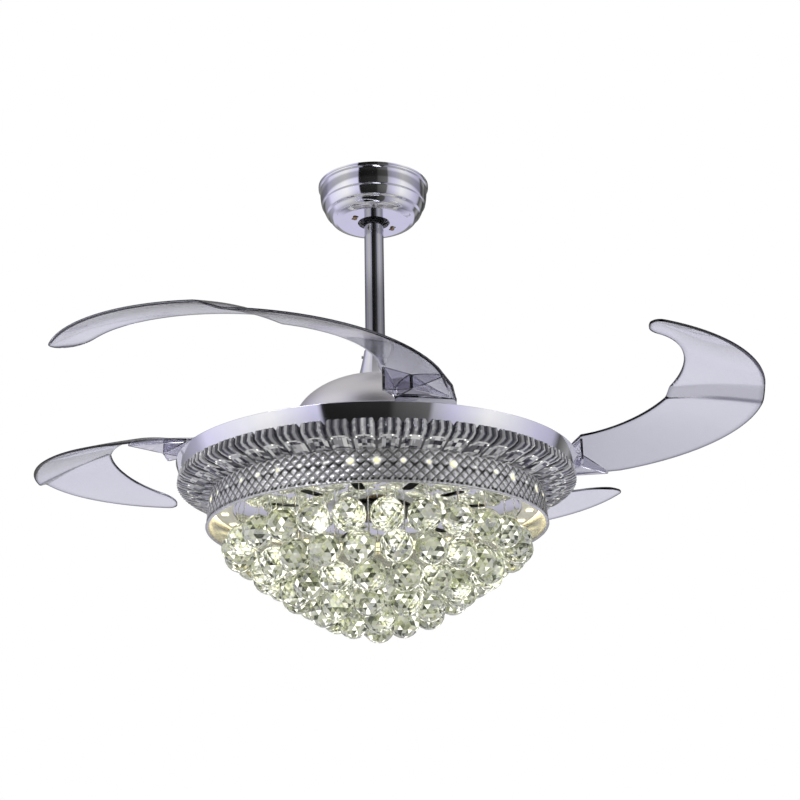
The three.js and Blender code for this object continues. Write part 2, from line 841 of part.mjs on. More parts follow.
// Sections close to the tip are drawn in towards its middle, so that it ends round.
function tipSection(v) {
  const roundShare = 0.07;
  const way = Math.max(0, (v - (1 - roundShare)) / roundShare);
  const keep = Math.sqrt(Math.max(1 - way ** 2, 0.015));
  const [inner, outer] = [innerEdge(v), outerEdge(v)];
  const middle = [(inner[0] + outer[0]) / 2, (inner[1] + outer[1]) / 2];
  const middleZ = (innerHeight(v) + outerHeight(v)) / 2;
  const pull = (value, centre) => centre + (value - centre) * keep;
  return bladeSection(
    [pull(inner[0], middle[0]), pull(inner[1], middle[1])],
    [pull(outer[0], middle[0]), pull(outer[1], middle[1])],
    pull(innerHeight(v), middleZ),
    pull(outerHeight(v), middleZ),
    bladeCamber * keep * THREE.MathUtils.smoothstep(v, 0.1, 0.35),
  );
}

const rootMiddle = rootHeight + rootThickness / 2;

// The twisted stretch between the flat root and the arm; share runs from 0 to 1.
function twistSection(share) {
  const ease = share ** 0.85;
  const mix = (a, b) => THREE.MathUtils.lerp(a, b, share);
  const [inner, outer] = [innerEdge(0), outerEdge(0)];
  return [
    [mix(rootInner.x, inner[0]), mix(rootInner.y, inner[1])],
    [mix(rootOuter.x, outer[0]), mix(rootOuter.y, outer[1])],
    THREE.MathUtils.lerp(rootMiddle, innerHeight(0), ease),
    THREE.MathUtils.lerp(rootMiddle, outerHeight(0), ease),
  ];
}

function bladePlate() {
  const stations = [0.08, 0.17, 0.29, 0.408, 0.452, 0.55, 0.65, 0.75, 0.84, 0.93, 0.97, 0.99, 1];
  const twist = [0, 0.35, 0.7, 1].map((share) => bladeSection(...twistSection(share)));
  return lofted([...twist, ...stations.map(tipSection)].map((loop) => loop.reverse()));
}

// The space between the root's underside and the blade's middle surface, which trims the ribs.
function underBlade() {
  const floor = rootFoot;
  const twist = [0, 0.5, 1].map((share) => twistSection(share));
  const arm = [0.05, 0.1].map((v) => [innerEdge(v), outerEdge(v), innerHeight(v), outerHeight(v)]);
  const loops = [...twist, ...arm].map((section) => {
    const loop = bladeSection(...section, 0, 1, 0);
    return loop.map((point, i) => (i < loop.length / 2 ? point : [point[0], point[1], floor]));
  });
  return lofted(loops.map((loop) => loop.reverse()));
}

// An upright wall between two places, tall enough to be trimmed.
function upright(from, to, thickness, height) {
  const length = Math.hypot(to[0] - from[0], to[1] - from[1]);
  const angle = THREE.MathUtils.radToDeg(Math.atan2(to[1] - from[1], to[0] - from[0]));
  const wall = box(length / 2, 0, rootFoot + height / 2, length, thickness, height);
  return wall.rotate([0, 0, angle]).translate([from[0], from[1], 0]);
}

function rootRibs() {
  const inner = [rootInner.x + 9, rootInner.y + 1];
  const innerFar = [260, 8];
  const ridge = [262, 40];
  const outerFar = [300, 72];
  const outer = [rootOuter.x + 12, rootOuter.y - 7];
  const runs = [
    [inner, innerFar],
    [innerFar, ridge],
    [ridge, outerFar],
    [outerFar, outer],
    [inner, ridge],
    [ridge, outer],
  ];
  const overBlade = innerHeight(0) + bladeThickness;
  const walls = runs.map(([from, to]) => upright(from, to, rootRibThickness, overBlade));
  return join(walls).intersect(underBlade());
}

function rootPlate() {
  const shape = new THREE.Shape();
  const start = Math.atan2(rootOuter.y - pivotY, rootOuter.x - pivotX);
  const open = Math.acos(rootRadius / Math.hypot(rootOuter.x - pivotX, rootOuter.y - pivotY));
  const startLow = Math.atan2(rootInner.y - pivotY, rootInner.x - pivotX);
  const openLow = Math.acos(rootRadius / Math.hypot(rootInner.x - pivotX, rootInner.y - pivotY));
  shape.moveTo(rootOuter.x, rootOuter.y);
  shape.absarc(pivotX, pivotY, rootRadius, start + open, startLow - openLow + 2 * Math.PI, false);
  shape.lineTo(rootInner.x, rootInner.y);
  shape.lineTo(rootInner.x + 8, rootInner.y + 4);
  shape.lineTo(rootOuter.x + 8, rootOuter.y - 4);
  return slab(shape, rootFoot, rootThickness, 9);
}

function blade() {
  const bore = hole(pivotBoltRadius, rootFoot - 1, rootTop + 1, pinSides).translate([pivotX, pivotY, 0]);
  return join(bladePlate(), rootPlate(), rootRibs()).subtract(bore);
}

// ---------------------------------------------------------------- lamp body

// The band's outer radius at a height.
function bandRadiusAt(z) {
  return bandRadius - (bandTaper * (bandTop - z)) / bandHeight;
}

function chromeBand() {
  const path = [
    [bandRadius - bandTopLip, bandTop],
    [bandRadius, bandTop],
    [bandRadius - bandTaper, bandFoot],
    [bandRadius - bandTaper - bandFootLip, bandFoot],
  ];
  return turned(sheet(path, -bandWall), ringSides);
}

function lampPan() {
  const rimTop = bandTop - 2 * bandWall;
  const lean = bandWall + 2 * gap;
  const path = [
    [boreRadius(shaftRadius, ringSides), panFoot],
    [bandRadiusAt(panFoot) - lean, panFoot],
    [bandRadiusAt(rimTop) - lean, rimTop],
  ];
  return turned(sheet(path, panWall), ringSides);
}

function hexNut(top) {
  const bore = hole(shaftRadius, top - nutHeight - 1, top + 1, smallSides);
  return slab(hexagon(nutFlats), top - nutHeight, nutHeight).subtract(bore);
}

function crystalSkirt() {
  const foot = bandRadius - bandTaper;
  const inner = boreRadius(drumRadius, 2 * skirtBlocks);
  const stepIn = bandFootLip - 2;
  const ridge = [
    [inner, skirtTop],
    [foot - stepIn, skirtTop],
    [foot + skirtReach, skirtTop - 0.27 * skirtHeight],
    [latticeTopRadius + 8, skirtFoot],
    [inner, skirtFoot],
  ].reverse();
  const inset = [0, 0.5, 1, 1, 0];
  const groove = ridge.map(([r, z], i) => [r - skirtGroove * inset[i], z]);
  return facetedRing(2 * skirtBlocks, (step) => (step % 2 === 0 ? groove : ridge));
}

function latticeRing() {
  const inner = boreRadius(drumRadius, 2 * latticeDiamonds);
  const flange = latticeTop - 1.4;
  const grid = 2 * latticeRows;
  const gridTop = flange;
  const gridFoot = latticeFoot + latticeRim;
  const outer = Array.from({ length: grid + 1 }, (_, j) => {
    const share = j / grid;
    const r = THREE.MathUtils.lerp(latticeTopRadius, latticeFootRadius, share);
    return [r, THREE.MathUtils.lerp(gridTop, gridFoot, share)];
  });
  const foot = [
    [latticeFootRadius + 1.6, latticeFoot],
    [latticeFootRadius - latticeWall, latticeFoot],
    [latticeTopRadius - latticeWall, flange],
    [inner, flange],
    [inner, latticeTop],
    [latticeTopRadius, latticeTop],
  ];
  return facetedRing(2 * latticeDiamonds, (step) => {
    const dented = outer.map(([r, z], j) => [(step + j) % 2 === 1 ? r - latticeDent : r, z]);
    return [...dented, ...foot].reverse();
  });
}

function lampDrum() {
  const path = [
    [drumRadius - drumTopLip, panFoot - gap],
    [drumRadius, panFoot - gap],
    [drumRadius, drumFoot],
    [drumRadius - drumFootLip, drumFoot],
  ];
  return turned(sheet(path, -drumWall), ringSides);
}

function ledStrip() {
  const top = latticeTop - 4;
  const inner = drumRadius + gap;
  return ring(inner + ledStripThickness, inner, top - ledStripWidth, top, ringSides);
}

// The ring board with its light chips, which face down round the mirror.
function ledBoard() {
  const top = mirrorTop;
  const foot = top - ledBoardThickness;
  const board = ring(ledBoardRadius, ledBoardRadius - ledBoardWidth, foot, top, ringSides);
  const chip = box(ledBoardRadius - ledBoardWidth / 2, 0, foot - 0.6, ledSize, ledSize, 1.6);
  const chips = Array.from({ length: ledCount }, (_, i) => chip.rotate([0, 0, (360 * i) / ledCount]));
  return join(board, chips);
}

// ---------------------------------------------------------------- mirror plates and crystal balls

const lowestCrystal = 197; // centre of the innermost balls under the band's top edge
const outerCrystal = 108;

// Rings of balls from the outside in: how many fit side by side, and a bowl of falling heights.
function crystalTiers() {
  return Array.from({ length: tierCount }, (_, i) => {
    const radius = outerTierRadius - tierStep * i;
    const share = i / (tierCount - 1);
    const fall = outerCrystal + (lowestCrystal - outerCrystal) * (1 - (1 - share) ** 1.32);
    const count = Math.floor(Math.PI / Math.asin((crystalRadius + crystalSpacing / 2) / radius));
    return { radius, count, z: bandTop - Math.min(fall, lowestCrystal) };
  });
}

// One ring of balls on their wires, hanging from a plate's underside. Every second ring is turned
// by half a step; from and to bound the angles of the balls that hang on this plate.
function hangingBalls(tier, plateFoot, index, from = 0, to = 360) {
  const r = crystalRadius;
  const pendant = turned([
    [0, -r],
    [0.92 * r, -0.42 * r],
    [0.92 * r, 0.42 * r],
    [crystalWireRadius, 0.98 * r],
    [crystalWireRadius, plateFoot + 0.5 - tier.z],
    [0, plateFoot + 0.5 - tier.z],
  ], crystalSides).translate([tier.radius, 0, tier.z]);
  return Array.from({ length: tier.count }, (_, i) => (360 * (i + 0.5 * (index % 2))) / tier.count)
    .filter((angle) => (angle - from + 360) % 360 < to - from)
    .map((angle) => pendant.rotate([0, 0, angle]));
}

// One of the mirrors that together make a disc round the centre plate, with its balls.
function mirrorPlate(index) {
  const disc = ring(mirrorRadius, mirrorHoleRadius, mirrorFoot, mirrorTop, ringSides);
  const tiers = crystalTiers().slice(0, -1);
  const slotRadius = (tiers[1].radius + tiers[2].radius) / 2;
  const slot = box(slotRadius, 0, mirrorFoot, tierStep - 14, 15, 8);
  const slots = Array.from({ length: mirrorSlots }, (_, i) => slot.rotate([0, 0, (360 * i) / mirrorSlots]));
  const turn = 360 / mirrorPlates;
  const start = mirrorSeam + turn * index;
  const shape = new THREE.Shape([
    new THREE.Vector2(0, 0),
    ...[0, 0.5, 1].map((share) => new THREE.Vector2(...polar(2 * mirrorRadius, start + turn * share))),
  ]);
  const inset = polar(gap / Math.SQRT2, start + turn / 2);
  const sector = slab(shape, mirrorFoot - 1, mirrorThickness + 2).translate([...inset, 0]);
  const balls = tiers.flatMap((tier, i) => hangingBalls(tier, mirrorFoot, i, start, start + turn));
  return join(disc.subtract(join(slots)).intersect(sector), balls);
}

function centrePlate() {
  const bore = boreRadius(shaftRadius, roundSides);
  const disc = ring(centrePlateRadius, bore, centrePlateFoot, centrePlateTop);
  const inner = tierCount - 1;
  return join(disc, hangingBalls(crystalTiers()[inner], centrePlateFoot, inner));
}

// ---------------------------------------------------------------- electronics

// A plastic case with rounded upright corners, screwed under the pan.
function caseUnderPan(length, width, height, x) {
  const corner = 5;
  const shape = new THREE.Shape();
  const [a, b] = [width / 2 - corner, length / 2 - corner];
  shape.absarc(a, b, corner, 0, Math.PI / 2, false);
  shape.absarc(-a, b, corner, Math.PI / 2, Math.PI, false);
  shape.absarc(-a, -b, corner, Math.PI, 1.5 * Math.PI, false);
  shape.absarc(a, -b, corner, 1.5 * Math.PI, 2 * Math.PI, false);
  return slab(shape, panFoot - gap - height, height, 2).translate([x, 0, 0]);
}

// ---------------------------------------------------------------- assembly

add("ceiling_bracket", ceilingBracket(), zinc());
add("canopy", canopy(), chrome());
[0, 1].forEach((side) => {
  const [x, y] = canopyScrewPlace(side);
  const screw = panScrew(canopyWall + seatRingInset).translate([x, y, -canopyDepth - gap]);
  add(`canopy_screw_${side + 1}`, screw, zinc());
});

add("hanger_ball", hangerBall(), whitePlastic());
add("ball_pin", crossPin(1.7 * ballRadius).translate([0, 0, ballCentre]), zinc());
add("downrod", downrod(), chrome());
add("neck_cover", neckCover(), chrome());
add("neck_screw", neckScrew(), zinc());
add("motor_yoke", motorYoke(), steel());
add("yoke_pin", crossPin(2 * (rodRadius + yokeSocketWall), 90).translate([0, 0, yokePinHeight]), zinc());
add("dome_cover", domeCover(), satin());
aroundDome((x, y) => [x, y]).forEach(([x, y], i) => {
  const screw = panScrew(domeWall + yokeFlangeThickness + gap).rotate([180, 0, 0]);
  add(`dome_screw_${i + 1}`, screw.translate([x, y, domeTop + gap]), zinc());
});
add("motor_shaft", motorShaft(), steel());
add("stator_core", statorCore(), steel());
add("stator_winding", statorWinding(), finish(0xb06a3a, 0.4, 0.8));

add("lower_bearing", bearing(motorFoot + motorWall + gap), chrome());
add("upper_bearing", bearing(motorTop - motorWall - gap - bearingWidth), chrome());
add("rotor_lower_shell", lowerShell(), castAluminium());
add("rotor_upper_shell", turned(shellProfile(motorTop, motorSplit + gap, -1)), castAluminium());
add("magnet_ring", magnetRing(), finish(0x3a3a3e, 0.5, 0.6));
add("blade_tray", bladeTray(), zinc());
trayScrewPlaces().forEach(([x, y], i) => {
  add(`tray_screw_${i + 1}`, trayScrew().translate([x, y, 0]), zinc());
});

const [clearBlade, bolt, nut, spring] = [blade(), pivotBolt(), pivotNut(), returnSpring()];
for (let i = 0; i < bladeCount; i += 1) {
  const turn = [0, 0, pivotTurn(i)];
  add(`blade_${i + 1}`, clearBlade.rotate(turn), clearPlastic());
  add(`pivot_bolt_${i + 1}`, bolt.rotate(turn), zinc());
  add(`pivot_nut_${i + 1}`, nut.rotate(turn), zinc());
  add(`return_spring_${i + 1}`, spring.rotate(turn), steel());
}

add("lamp_pan", lampPan(), finish(0xdcdcd8, 0.45, 0.2));
add("pan_nut", hexNut(panFoot - gap), zinc());
add("chrome_band", chromeBand(), chrome());
add("crystal_skirt", crystalSkirt(), crystal());
add("lattice_ring", latticeRing(), silver());
add("lamp_drum", lampDrum(), whitePlastic());
add("led_strip", ledStrip(), finish(0xfff2c0, 0.4, 0));
add("led_board", ledBoard(), finish(0xf4f0dc, 0.5, 0));
add("led_driver", caseUnderPan(driverLength, driverWidth, driverHeight, driverPlace), whitePlastic());
const receiver = caseUnderPan(receiverLength, receiverWidth, receiverHeight, receiverPlace);
add("remote_receiver", receiver, blackPaint());
for (let i = 0; i < mirrorPlates; i += 1) {
  add(`mirror_plate_${i + 1}`, mirrorPlate(i), chrome());
}
add("centre_plate", centrePlate(), blackPaint());
add("centre_nut", hexNut(centrePlateFoot - gap), finish(0x6d5a3a, 0.4, 0.9));

export default fan;
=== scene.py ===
# %% [markdown]
# # A ceiling fan with folding clear blades over a crystal lamp
#
# The construction of this fan is already made: it comes in as a fixed frame, in which every
# piece has its real size and place. This lesson gives the fan its looks. We build smooth
# surfaces with numpy around that frame, give each one a finish made of shader nodes, and
# light it like an object in a studio.

# %% Load the frame
import json

import bpy
import numpy as np
from mathutils import Matrix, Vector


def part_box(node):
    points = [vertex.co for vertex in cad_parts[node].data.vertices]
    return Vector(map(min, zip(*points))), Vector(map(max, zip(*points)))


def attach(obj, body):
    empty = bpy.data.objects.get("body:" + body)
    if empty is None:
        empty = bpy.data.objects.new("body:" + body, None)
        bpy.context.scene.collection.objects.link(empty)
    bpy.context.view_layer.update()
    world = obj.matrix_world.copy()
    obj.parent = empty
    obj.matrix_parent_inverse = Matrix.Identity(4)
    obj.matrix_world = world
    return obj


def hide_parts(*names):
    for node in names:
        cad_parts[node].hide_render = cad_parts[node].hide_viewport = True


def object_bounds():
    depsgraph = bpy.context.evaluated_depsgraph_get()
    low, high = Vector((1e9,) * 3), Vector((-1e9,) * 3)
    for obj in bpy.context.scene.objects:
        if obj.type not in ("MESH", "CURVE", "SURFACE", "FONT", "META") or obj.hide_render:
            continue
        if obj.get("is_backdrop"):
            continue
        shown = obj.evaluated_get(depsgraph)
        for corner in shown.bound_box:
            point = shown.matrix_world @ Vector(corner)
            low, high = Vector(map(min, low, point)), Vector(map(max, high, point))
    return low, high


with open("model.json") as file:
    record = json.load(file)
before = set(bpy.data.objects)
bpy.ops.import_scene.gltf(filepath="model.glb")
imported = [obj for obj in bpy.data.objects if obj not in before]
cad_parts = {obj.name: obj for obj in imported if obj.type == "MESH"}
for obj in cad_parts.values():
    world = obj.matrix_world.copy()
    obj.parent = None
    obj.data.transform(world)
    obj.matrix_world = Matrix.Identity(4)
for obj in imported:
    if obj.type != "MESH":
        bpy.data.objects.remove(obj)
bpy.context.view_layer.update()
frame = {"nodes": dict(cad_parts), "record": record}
mm = 0.001
HANGER, ROTOR = "hanging_fan", "rotor"


def measure(node):
    """Foot, top and outer radius of a round node, in millimetres."""
    low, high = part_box(node)
    return low.z / mm, high.z / mm, high.y / mm


# %% [markdown]
# ## The camera
#
# The camera comes first, because everything else is judged through it. It stands about two
# metres in front of the fan and a metre under the ceiling, and looks up a little. We write
# its aim as three turns, and build its matrix from the three directions that they give.

# %% Camera
camera_place = np.array([0.0, -1.900, -0.971])
camera_yaw, camera_pitch, camera_roll = np.radians([0.92, 19.4, -1.04])
focal_pixels, frame_pixels = 1583, 800


def camera_axes(yaw, pitch, roll):
    """Right, up and forward: forward from yaw and pitch, then right and up turned by roll."""
    forward = np.array([np.sin(yaw) * np.cos(pitch), np.cos(yaw) * np.cos(pitch), np.sin(pitch)])
    level = np.array([np.cos(yaw), -np.sin(yaw), 0])
    above = np.cross(level, forward)
    right = np.cos(roll) * level + np.sin(roll) * above
    up = np.cos(roll) * above - np.sin(roll) * level
    return right, up, forward


def place_at(thing, right, up, back, place):
    """Set the three axes of a thing and its place, in metres."""
    matrix = np.eye(4)
    matrix[:3] = np.column_stack([right, up, back, place])
    thing.matrix_world = Matrix(matrix.tolist())


right, up, forward = camera_axes(camera_yaw, camera_pitch, camera_roll)
camera = bpy.data.objects.new("camera", bpy.data.cameras.new("camera"))
camera.data.sensor_width = 36
camera.data.lens = focal_pixels / frame_pixels * camera.data.sensor_width
place_at(camera, right, up, -forward, camera_place)
bpy.context.scene.collection.objects.link(camera)
bpy.context.scene.camera = camera
print("lens", round(camera.data.lens, 1), "mm")

# %% [markdown]
# ## Shader sums in Python
#
# A finish is a net of shader nodes. Wiring them one by one hides what they work out, so one
# small class wraps a socket and lets Python's own operators add the Math nodes. Every other
# node comes from one method, which takes the node's type, its settings and its inputs.

# %% Numbers and nets of nodes
class Number:
    """A socket that carries a number; each operator on it adds one Math node."""

    def __init__(self, net, socket):
        self.net = net
        self.socket = socket

    def __add__(self, other):
        return self.net.maths("ADD", self, other)

    def __sub__(self, other):
        return self.net.maths("SUBTRACT", self, other)

    def __rsub__(self, other):
        return self.net.maths("SUBTRACT", other, self)

    def __mul__(self, other):
        return self.net.maths("MULTIPLY", self, other)

    def __pow__(self, other):
        return self.net.maths("POWER", self, other)

    __radd__ = __add__
    __rmul__ = __mul__


class Net:
    """The nodes of one material or world."""

    def __init__(self, tree):
        self.tree = tree

    def fill(self, socket, value):
        """Link a Number to a socket, or write a plain value on it."""
        if isinstance(value, Number):
            self.tree.links.new(value.socket, socket)
        else:
            socket.default_value = value

    def node(self, kind, settings=None, inputs=None, output=0):
        """Add a node: its settings first, a ramp's stops among them, then its inputs."""
        made = self.tree.nodes.new(kind)
        for name, value in (settings or {}).items():
            if name == "stops":
                self.set_stops(made.color_ramp, value)
            else:
                setattr(made, name, value)
        for name, value in (inputs or {}).items():
            self.fill(made.inputs[name], value)
        return Number(self, made.outputs[output])

    @staticmethod
    def set_stops(ramp, stops):
        while len(ramp.elements) < len(stops):
            ramp.elements.new(1.0)
        for element, (place, colour) in zip(ramp.elements, stops):
            element.position = place
            element.color = (*colour, 1)

    def maths(self, operation, *values):
        return self.node("ShaderNodeMath", {"operation": operation}, dict(enumerate(values)))

    def ramp(self, number, stops, mode="LINEAR"):
        made = self.node("ShaderNodeValToRGB", {"stops": stops}, {"Fac": number})
        made.socket.node.color_ramp.interpolation = mode
        return made

    def mix(self, factor, first, second):
        """Blend two colours."""
        inputs = {0: factor, 6: first, 7: second}
        return self.node("ShaderNodeMix", {"data_type": "RGBA"}, inputs, output=2)

    def axis(self, name):
        """One coordinate of the point on the piece, in metres."""
        coordinates = self.node("ShaderNodeTexCoord", output=3)
        return self.node("ShaderNodeSeparateXYZ", None, {0: coordinates}, output="XYZ".index(name))

    def noise(self, scale, detail=2.0, vector=None):
        """A cloudy pattern from 0 to 1 with about that many patches a metre."""
        where = vector or self.node("ShaderNodeTexCoord", output=3)
        inputs = {"Vector": where, "Scale": scale, "Detail": detail}
        return self.node("ShaderNodeTexNoise", None, inputs)

    def stretched(self, x, y, z):
        """Object coordinates scaled unevenly, for patterns that run along one way."""
        where = self.node("ShaderNodeTexCoord", output=3)
        return self.node("ShaderNodeMapping", None, {"Vector": where, "Scale": (x, y, z)})

    def attribute(self, name):
        """A number that the mesh carries on its faces or points."""
        return self.node("ShaderNodeAttribute", {"attribute_name": name}, output=2)

    def bump(self, height, strength, distance):
        inputs = {"Strength": strength, "Distance": distance, "Height": height}
        return self.node("ShaderNodeBump", None, inputs)


print("Number and Net are ready")

# %% [markdown]
# Every finish is a Principled shader. We write it as a function of its net that says what goes
# into the shader's sockets, and keep the finished material under its name.

# %% Finishes by name
finishes = {}


def finish(name, sockets):
    """A material whose Principled shader gets these sockets; sockets is a function of its net."""
    material = bpy.data.materials.new(name)
    material.use_nodes = True
    net = Net(material.node_tree)
    shader = material.node_tree.nodes["Principled BSDF"]
    for socket, value in sockets(net).items():
        net.fill(shader.inputs[socket], value)
    finishes[name] = material
    return material


print("a finish is made by finish(name, sockets)")

# %% [markdown]
# ## Making a mesh from arrays
#
# Almost every piece of this fan is round, and a round piece is a profile that is carried
# round the Z axis: a surface of two parameters, the angle and the way along the profile. We
# work out the whole grid of points as one array, and one helper puts it into a mesh.

# %% Grids and meshes
ROUND_STEPS = 180


def grid_faces(rows, columns, close_rows=True):
    """The four-cornered faces of a grid of points; the normal is rows' way times columns' way."""
    row = np.arange(rows if close_rows else rows - 1)[:, None]
    column = np.arange(columns)[None, :]
    next_row, next_column = (row + 1) % rows, (column + 1) % columns
    corners = [row * columns + column, next_row * columns + column,
               next_row * columns + next_column, row * columns + next_column]
    return np.stack(corners, axis=-1).reshape(-1, 4)


def tube_faces(rows, columns):
    """The faces of a tube made of rows of points, with a flat face over each of its ends."""
    first = np.arange(columns)
    last = first + (rows - 1) * columns
    sides = grid_faces(rows, columns, close_rows=False)
    return [*sides.tolist(), first.tolist(), last[::-1].tolist()]


def mesh_of(name, shape):
    """A mesh from a shape, which is its points in millimetres and its faces."""
    points, faces = shape
    mesh = bpy.data.meshes.new(name)
    corners = [list(face) for face in faces]
    mesh.from_pydata((np.asarray(points).reshape(-1, 3) * mm).tolist(), [], corners)
    return mesh


def mark(mesh, name, domain, values):
    """Write one number on each face or point, for the finish to read."""
    made = mesh.attributes.new(name, "FLOAT", domain)
    made.data.foreach_set("value", np.ravel(values).astype(np.float32))


def piece(name, shape, look, node, body=HANGER, sharp=35, marks=None):
    """Put a shape into a mesh that rides on a body and stands for a node of the frame."""
    mesh = mesh_of(name, shape)
    mesh.polygons.foreach_set("use_smooth", np.full(len(mesh.polygons), sharp > 0))
    if sharp > 0:
        mesh.set_sharp_from_angle(angle=np.radians(sharp))
    for what, (domain, values) in (marks or {}).items():
        mark(mesh, what, domain, values)
    return dress(bpy.data.objects.new(name, mesh), look, node, body)


def dress(thing, look, node, body):
    """Give an object its finish and body, and hide the node of the frame that it stands for; its one slot
    holds the finish.
    """
    bpy.context.scene.collection.objects.link(thing)
    thing.data.materials.clear()
    thing.data.materials.append(finishes[look])
    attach(thing, body)
    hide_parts(node)
    return thing


print("a piece rides on", HANGER, "unless told")

# %% [markdown]
# ## Profiles and rings
#
# A profile is a closed outline of (radius, height). Its corners are softened, and the profile
# of a sheet is a path and the same path moved by the sheet's wall. Turning it makes a ring.

# %% Profiles and rings
def round_points(radius, angle, height):
    """(r cos a, r sin a, z), with the three stretched to one shape."""
    around = np.broadcast_arrays(radius * np.cos(angle), radius * np.sin(angle), height)
    return np.stack(around, axis=-1)


def counter_clockwise(profile):
    """A closed profile of (radius, height) in the order that makes its faces look outwards."""
    r, z = profile.T
    area = np.sum(r * np.roll(z, -1) - np.roll(r, -1) * z)
    return profile if area > 0 else profile[::-1]


def turned(profile, steps=ROUND_STEPS):
    """Points and faces of a ring: (r cos a, r sin a, z) for each angle a and profile point."""
    profile = counter_clockwise(np.asarray(profile, float))
    angle = np.linspace(0, 2 * np.pi, steps, endpoint=False)[:, None]
    r, z = profile.T
    return round_points(r, angle, z), grid_faces(steps, len(profile))


def softened(corners, radius=0.6, steps=3):
    """A closed outline whose corners are cut back by radius and bridged by a parabola."""
    corners = np.asarray(corners, float)

    def cut_back(side):
        """Where the parabola meets a side: radius from the corner, or at most 0.4 of the side."""
        share = np.minimum(radius / np.linalg.norm(side, axis=1), 0.4)
        return (corners + share[:, None] * side)[:, None]

    start = cut_back(np.roll(corners, 1, axis=0) - corners)
    end = cut_back(np.roll(corners, -1, axis=0) - corners)
    share = np.linspace(0, 1, steps + 1)[None, :, None]
    arc = (1 - share) ** 2 * start + 2 * share * (1 - share) * corners[:, None] + share ** 2 * end
    return arc.reshape(-1, 2)


def walled(path, wall):
    """A closed profile: a path of (radius, height) and the same path moved left by the wall."""
    path = np.asarray(path, float)
    way = np.gradient(path, axis=0)
    way /= np.linalg.norm(way, axis=1, keepdims=True)
    left = np.stack([-way[:, 1], way[:, 0]], axis=1)
    return np.concatenate([path, (path + wall * left)[::-1]])


print("a ring of", ROUND_STEPS, "steps has facets of", round(2 * np.pi * 250 / ROUND_STEPS, 1), "mm")

# %% [markdown]
# ## Metals
#
# Chrome on this fan is a thin plated sheet: a mirror that is very slightly uneven, so that
# its reflections wander. The dome is satin nickel, whose fine spun lines run round its axis.
# All metals share one recipe: a pattern blends two tones, the same or a second pattern goes
# into the roughness, and that one or a third into a faint bump.

# %% Metal finishes
def cloud(scale, detail=2.0, stretch=None):
    """A pattern of noise, squeezed along the axes by stretch."""
    return lambda net: net.noise(scale, detail, net.stretched(*stretch) if stretch else None)


def spun_lines(net):
    """Noise of radius and height alone, so that it runs round the axis in fine lines."""
    x, y, z = (net.axis(name) for name in "XYZ")
    radius = net.maths("SQRT", x ** 2 + y ** 2)
    return net.noise(120, 3, net.node("ShaderNodeCombineXYZ", None, {0: radius * 9, 1: z * 9}))


def spangle(net):
    return net.node("ShaderNodeTexVoronoi", None, {"Scale": 260.0})


def metal(dark, light, rough, tone_by, rough_by=None, bump_by=None, bump=None, metallic=1.0):
    """Tones blended by tone_by; roughness is rough[0] + rough[1] * rough_by; bump is (strength, distance)."""
    def sockets(net):
        tone = tone_by(net)
        grain = rough_by(net) if rough_by else tone
        made = {"Base Color": net.mix(tone, (*dark, 1), (*light, 1)),
                "Metallic": metallic,
                "Roughness": rough[0] + rough[1] * grain}
        if bump:
            made["Normal"] = net.bump(bump_by(net) if bump_by else grain, *bump)
        return made
    return sockets


metals = {
    "bright_chrome": metal((0.86, 0.86, 0.89), (0.95, 0.95, 0.97), (0.03, 0.06), cloud(60, 4),
                           bump_by=cloud(9), bump=(0.12, 0.002)),
    "mirror_chrome": metal((0.72, 0.72, 0.68), (0.82, 0.82, 0.78), (0.03, 0.05), cloud(35, 3),
                           bump_by=cloud(12), bump=(0.15, 0.002)),
    "rod_chrome": metal((0.42, 0.42, 0.43), (0.61, 0.61, 0.63), (0.08, 0.10),
                        cloud(40, 3, (30, 30, 1)), bump=(0.06, 0.0003)),
    "satin_nickel": metal((0.86, 0.84, 0.84), (0.95, 0.93, 0.93), (0.34, 0.14), cloud(14, 3),
                          rough_by=spun_lines, bump=(0.10, 0.0003)),
    "zinc_steel": metal((0.58, 0.59, 0.60), (0.74, 0.74, 0.72), (0.24, 0.22), spangle,
                        rough_by=cloud(50, 4), bump=(0.08, 0.0003)),
    "bare_steel": metal((0.42, 0.43, 0.45), (0.62, 0.63, 0.65), (0.26, 0.2),
                        cloud(30, 3, (1, 1, 40)), bump=(0.1, 0.0002)),
    "cast_alloy": metal((0.40, 0.41, 0.42), (0.56, 0.57, 0.58), (0.42, 0.2), cloud(25, 3),
                        rough_by=cloud(420, 5), bump=(0.3, 0.0004), metallic=0.9),
    "copper_wire": metal((0.36, 0.12, 0.04), (0.70, 0.33, 0.14), (0.25, 0.2),
                         cloud(60, 2, (1, 1, 30)), bump=(0.5, 0.0005), metallic=0.9),
    "bronze_nut": metal((0.16, 0.10, 0.05), (0.44, 0.33, 0.18), (0.22, 0.25), cloud(180, 4)),
    "magnet": metal((0.04, 0.04, 0.045), (0.11, 0.11, 0.12), (0.5, 0.2), cloud(500, 4), metallic=0.5)}
for name, sockets in metals.items():
    finish(name, sockets)
print(len(metals), "metals")

# %% [markdown]
# ## Plastics, paint and light
#
# The hidden shells are moulded white or black plastic, the lamp's sheet metal is powder
# coated, and the light strip is a soft silicone that glows. Powder coat has a fine orange
# peel, and moulded plastic a spark-eroded grain, so both get a small bump at their own scale.

# %% Painted, moulded and glowing finishes
def moulded(low, high, grain_scale):
    """A plastic between two colours, with the fine grain of its mould."""
    def sockets(net):
        grain = net.noise(grain_scale, 4)
        return {"Base Color": net.mix(net.noise(20), (*low, 1), (*high, 1)),
                "Roughness": 0.38 + 0.2 * grain,
                "Normal": net.bump(grain, 0.15, 0.0002)}
    return sockets


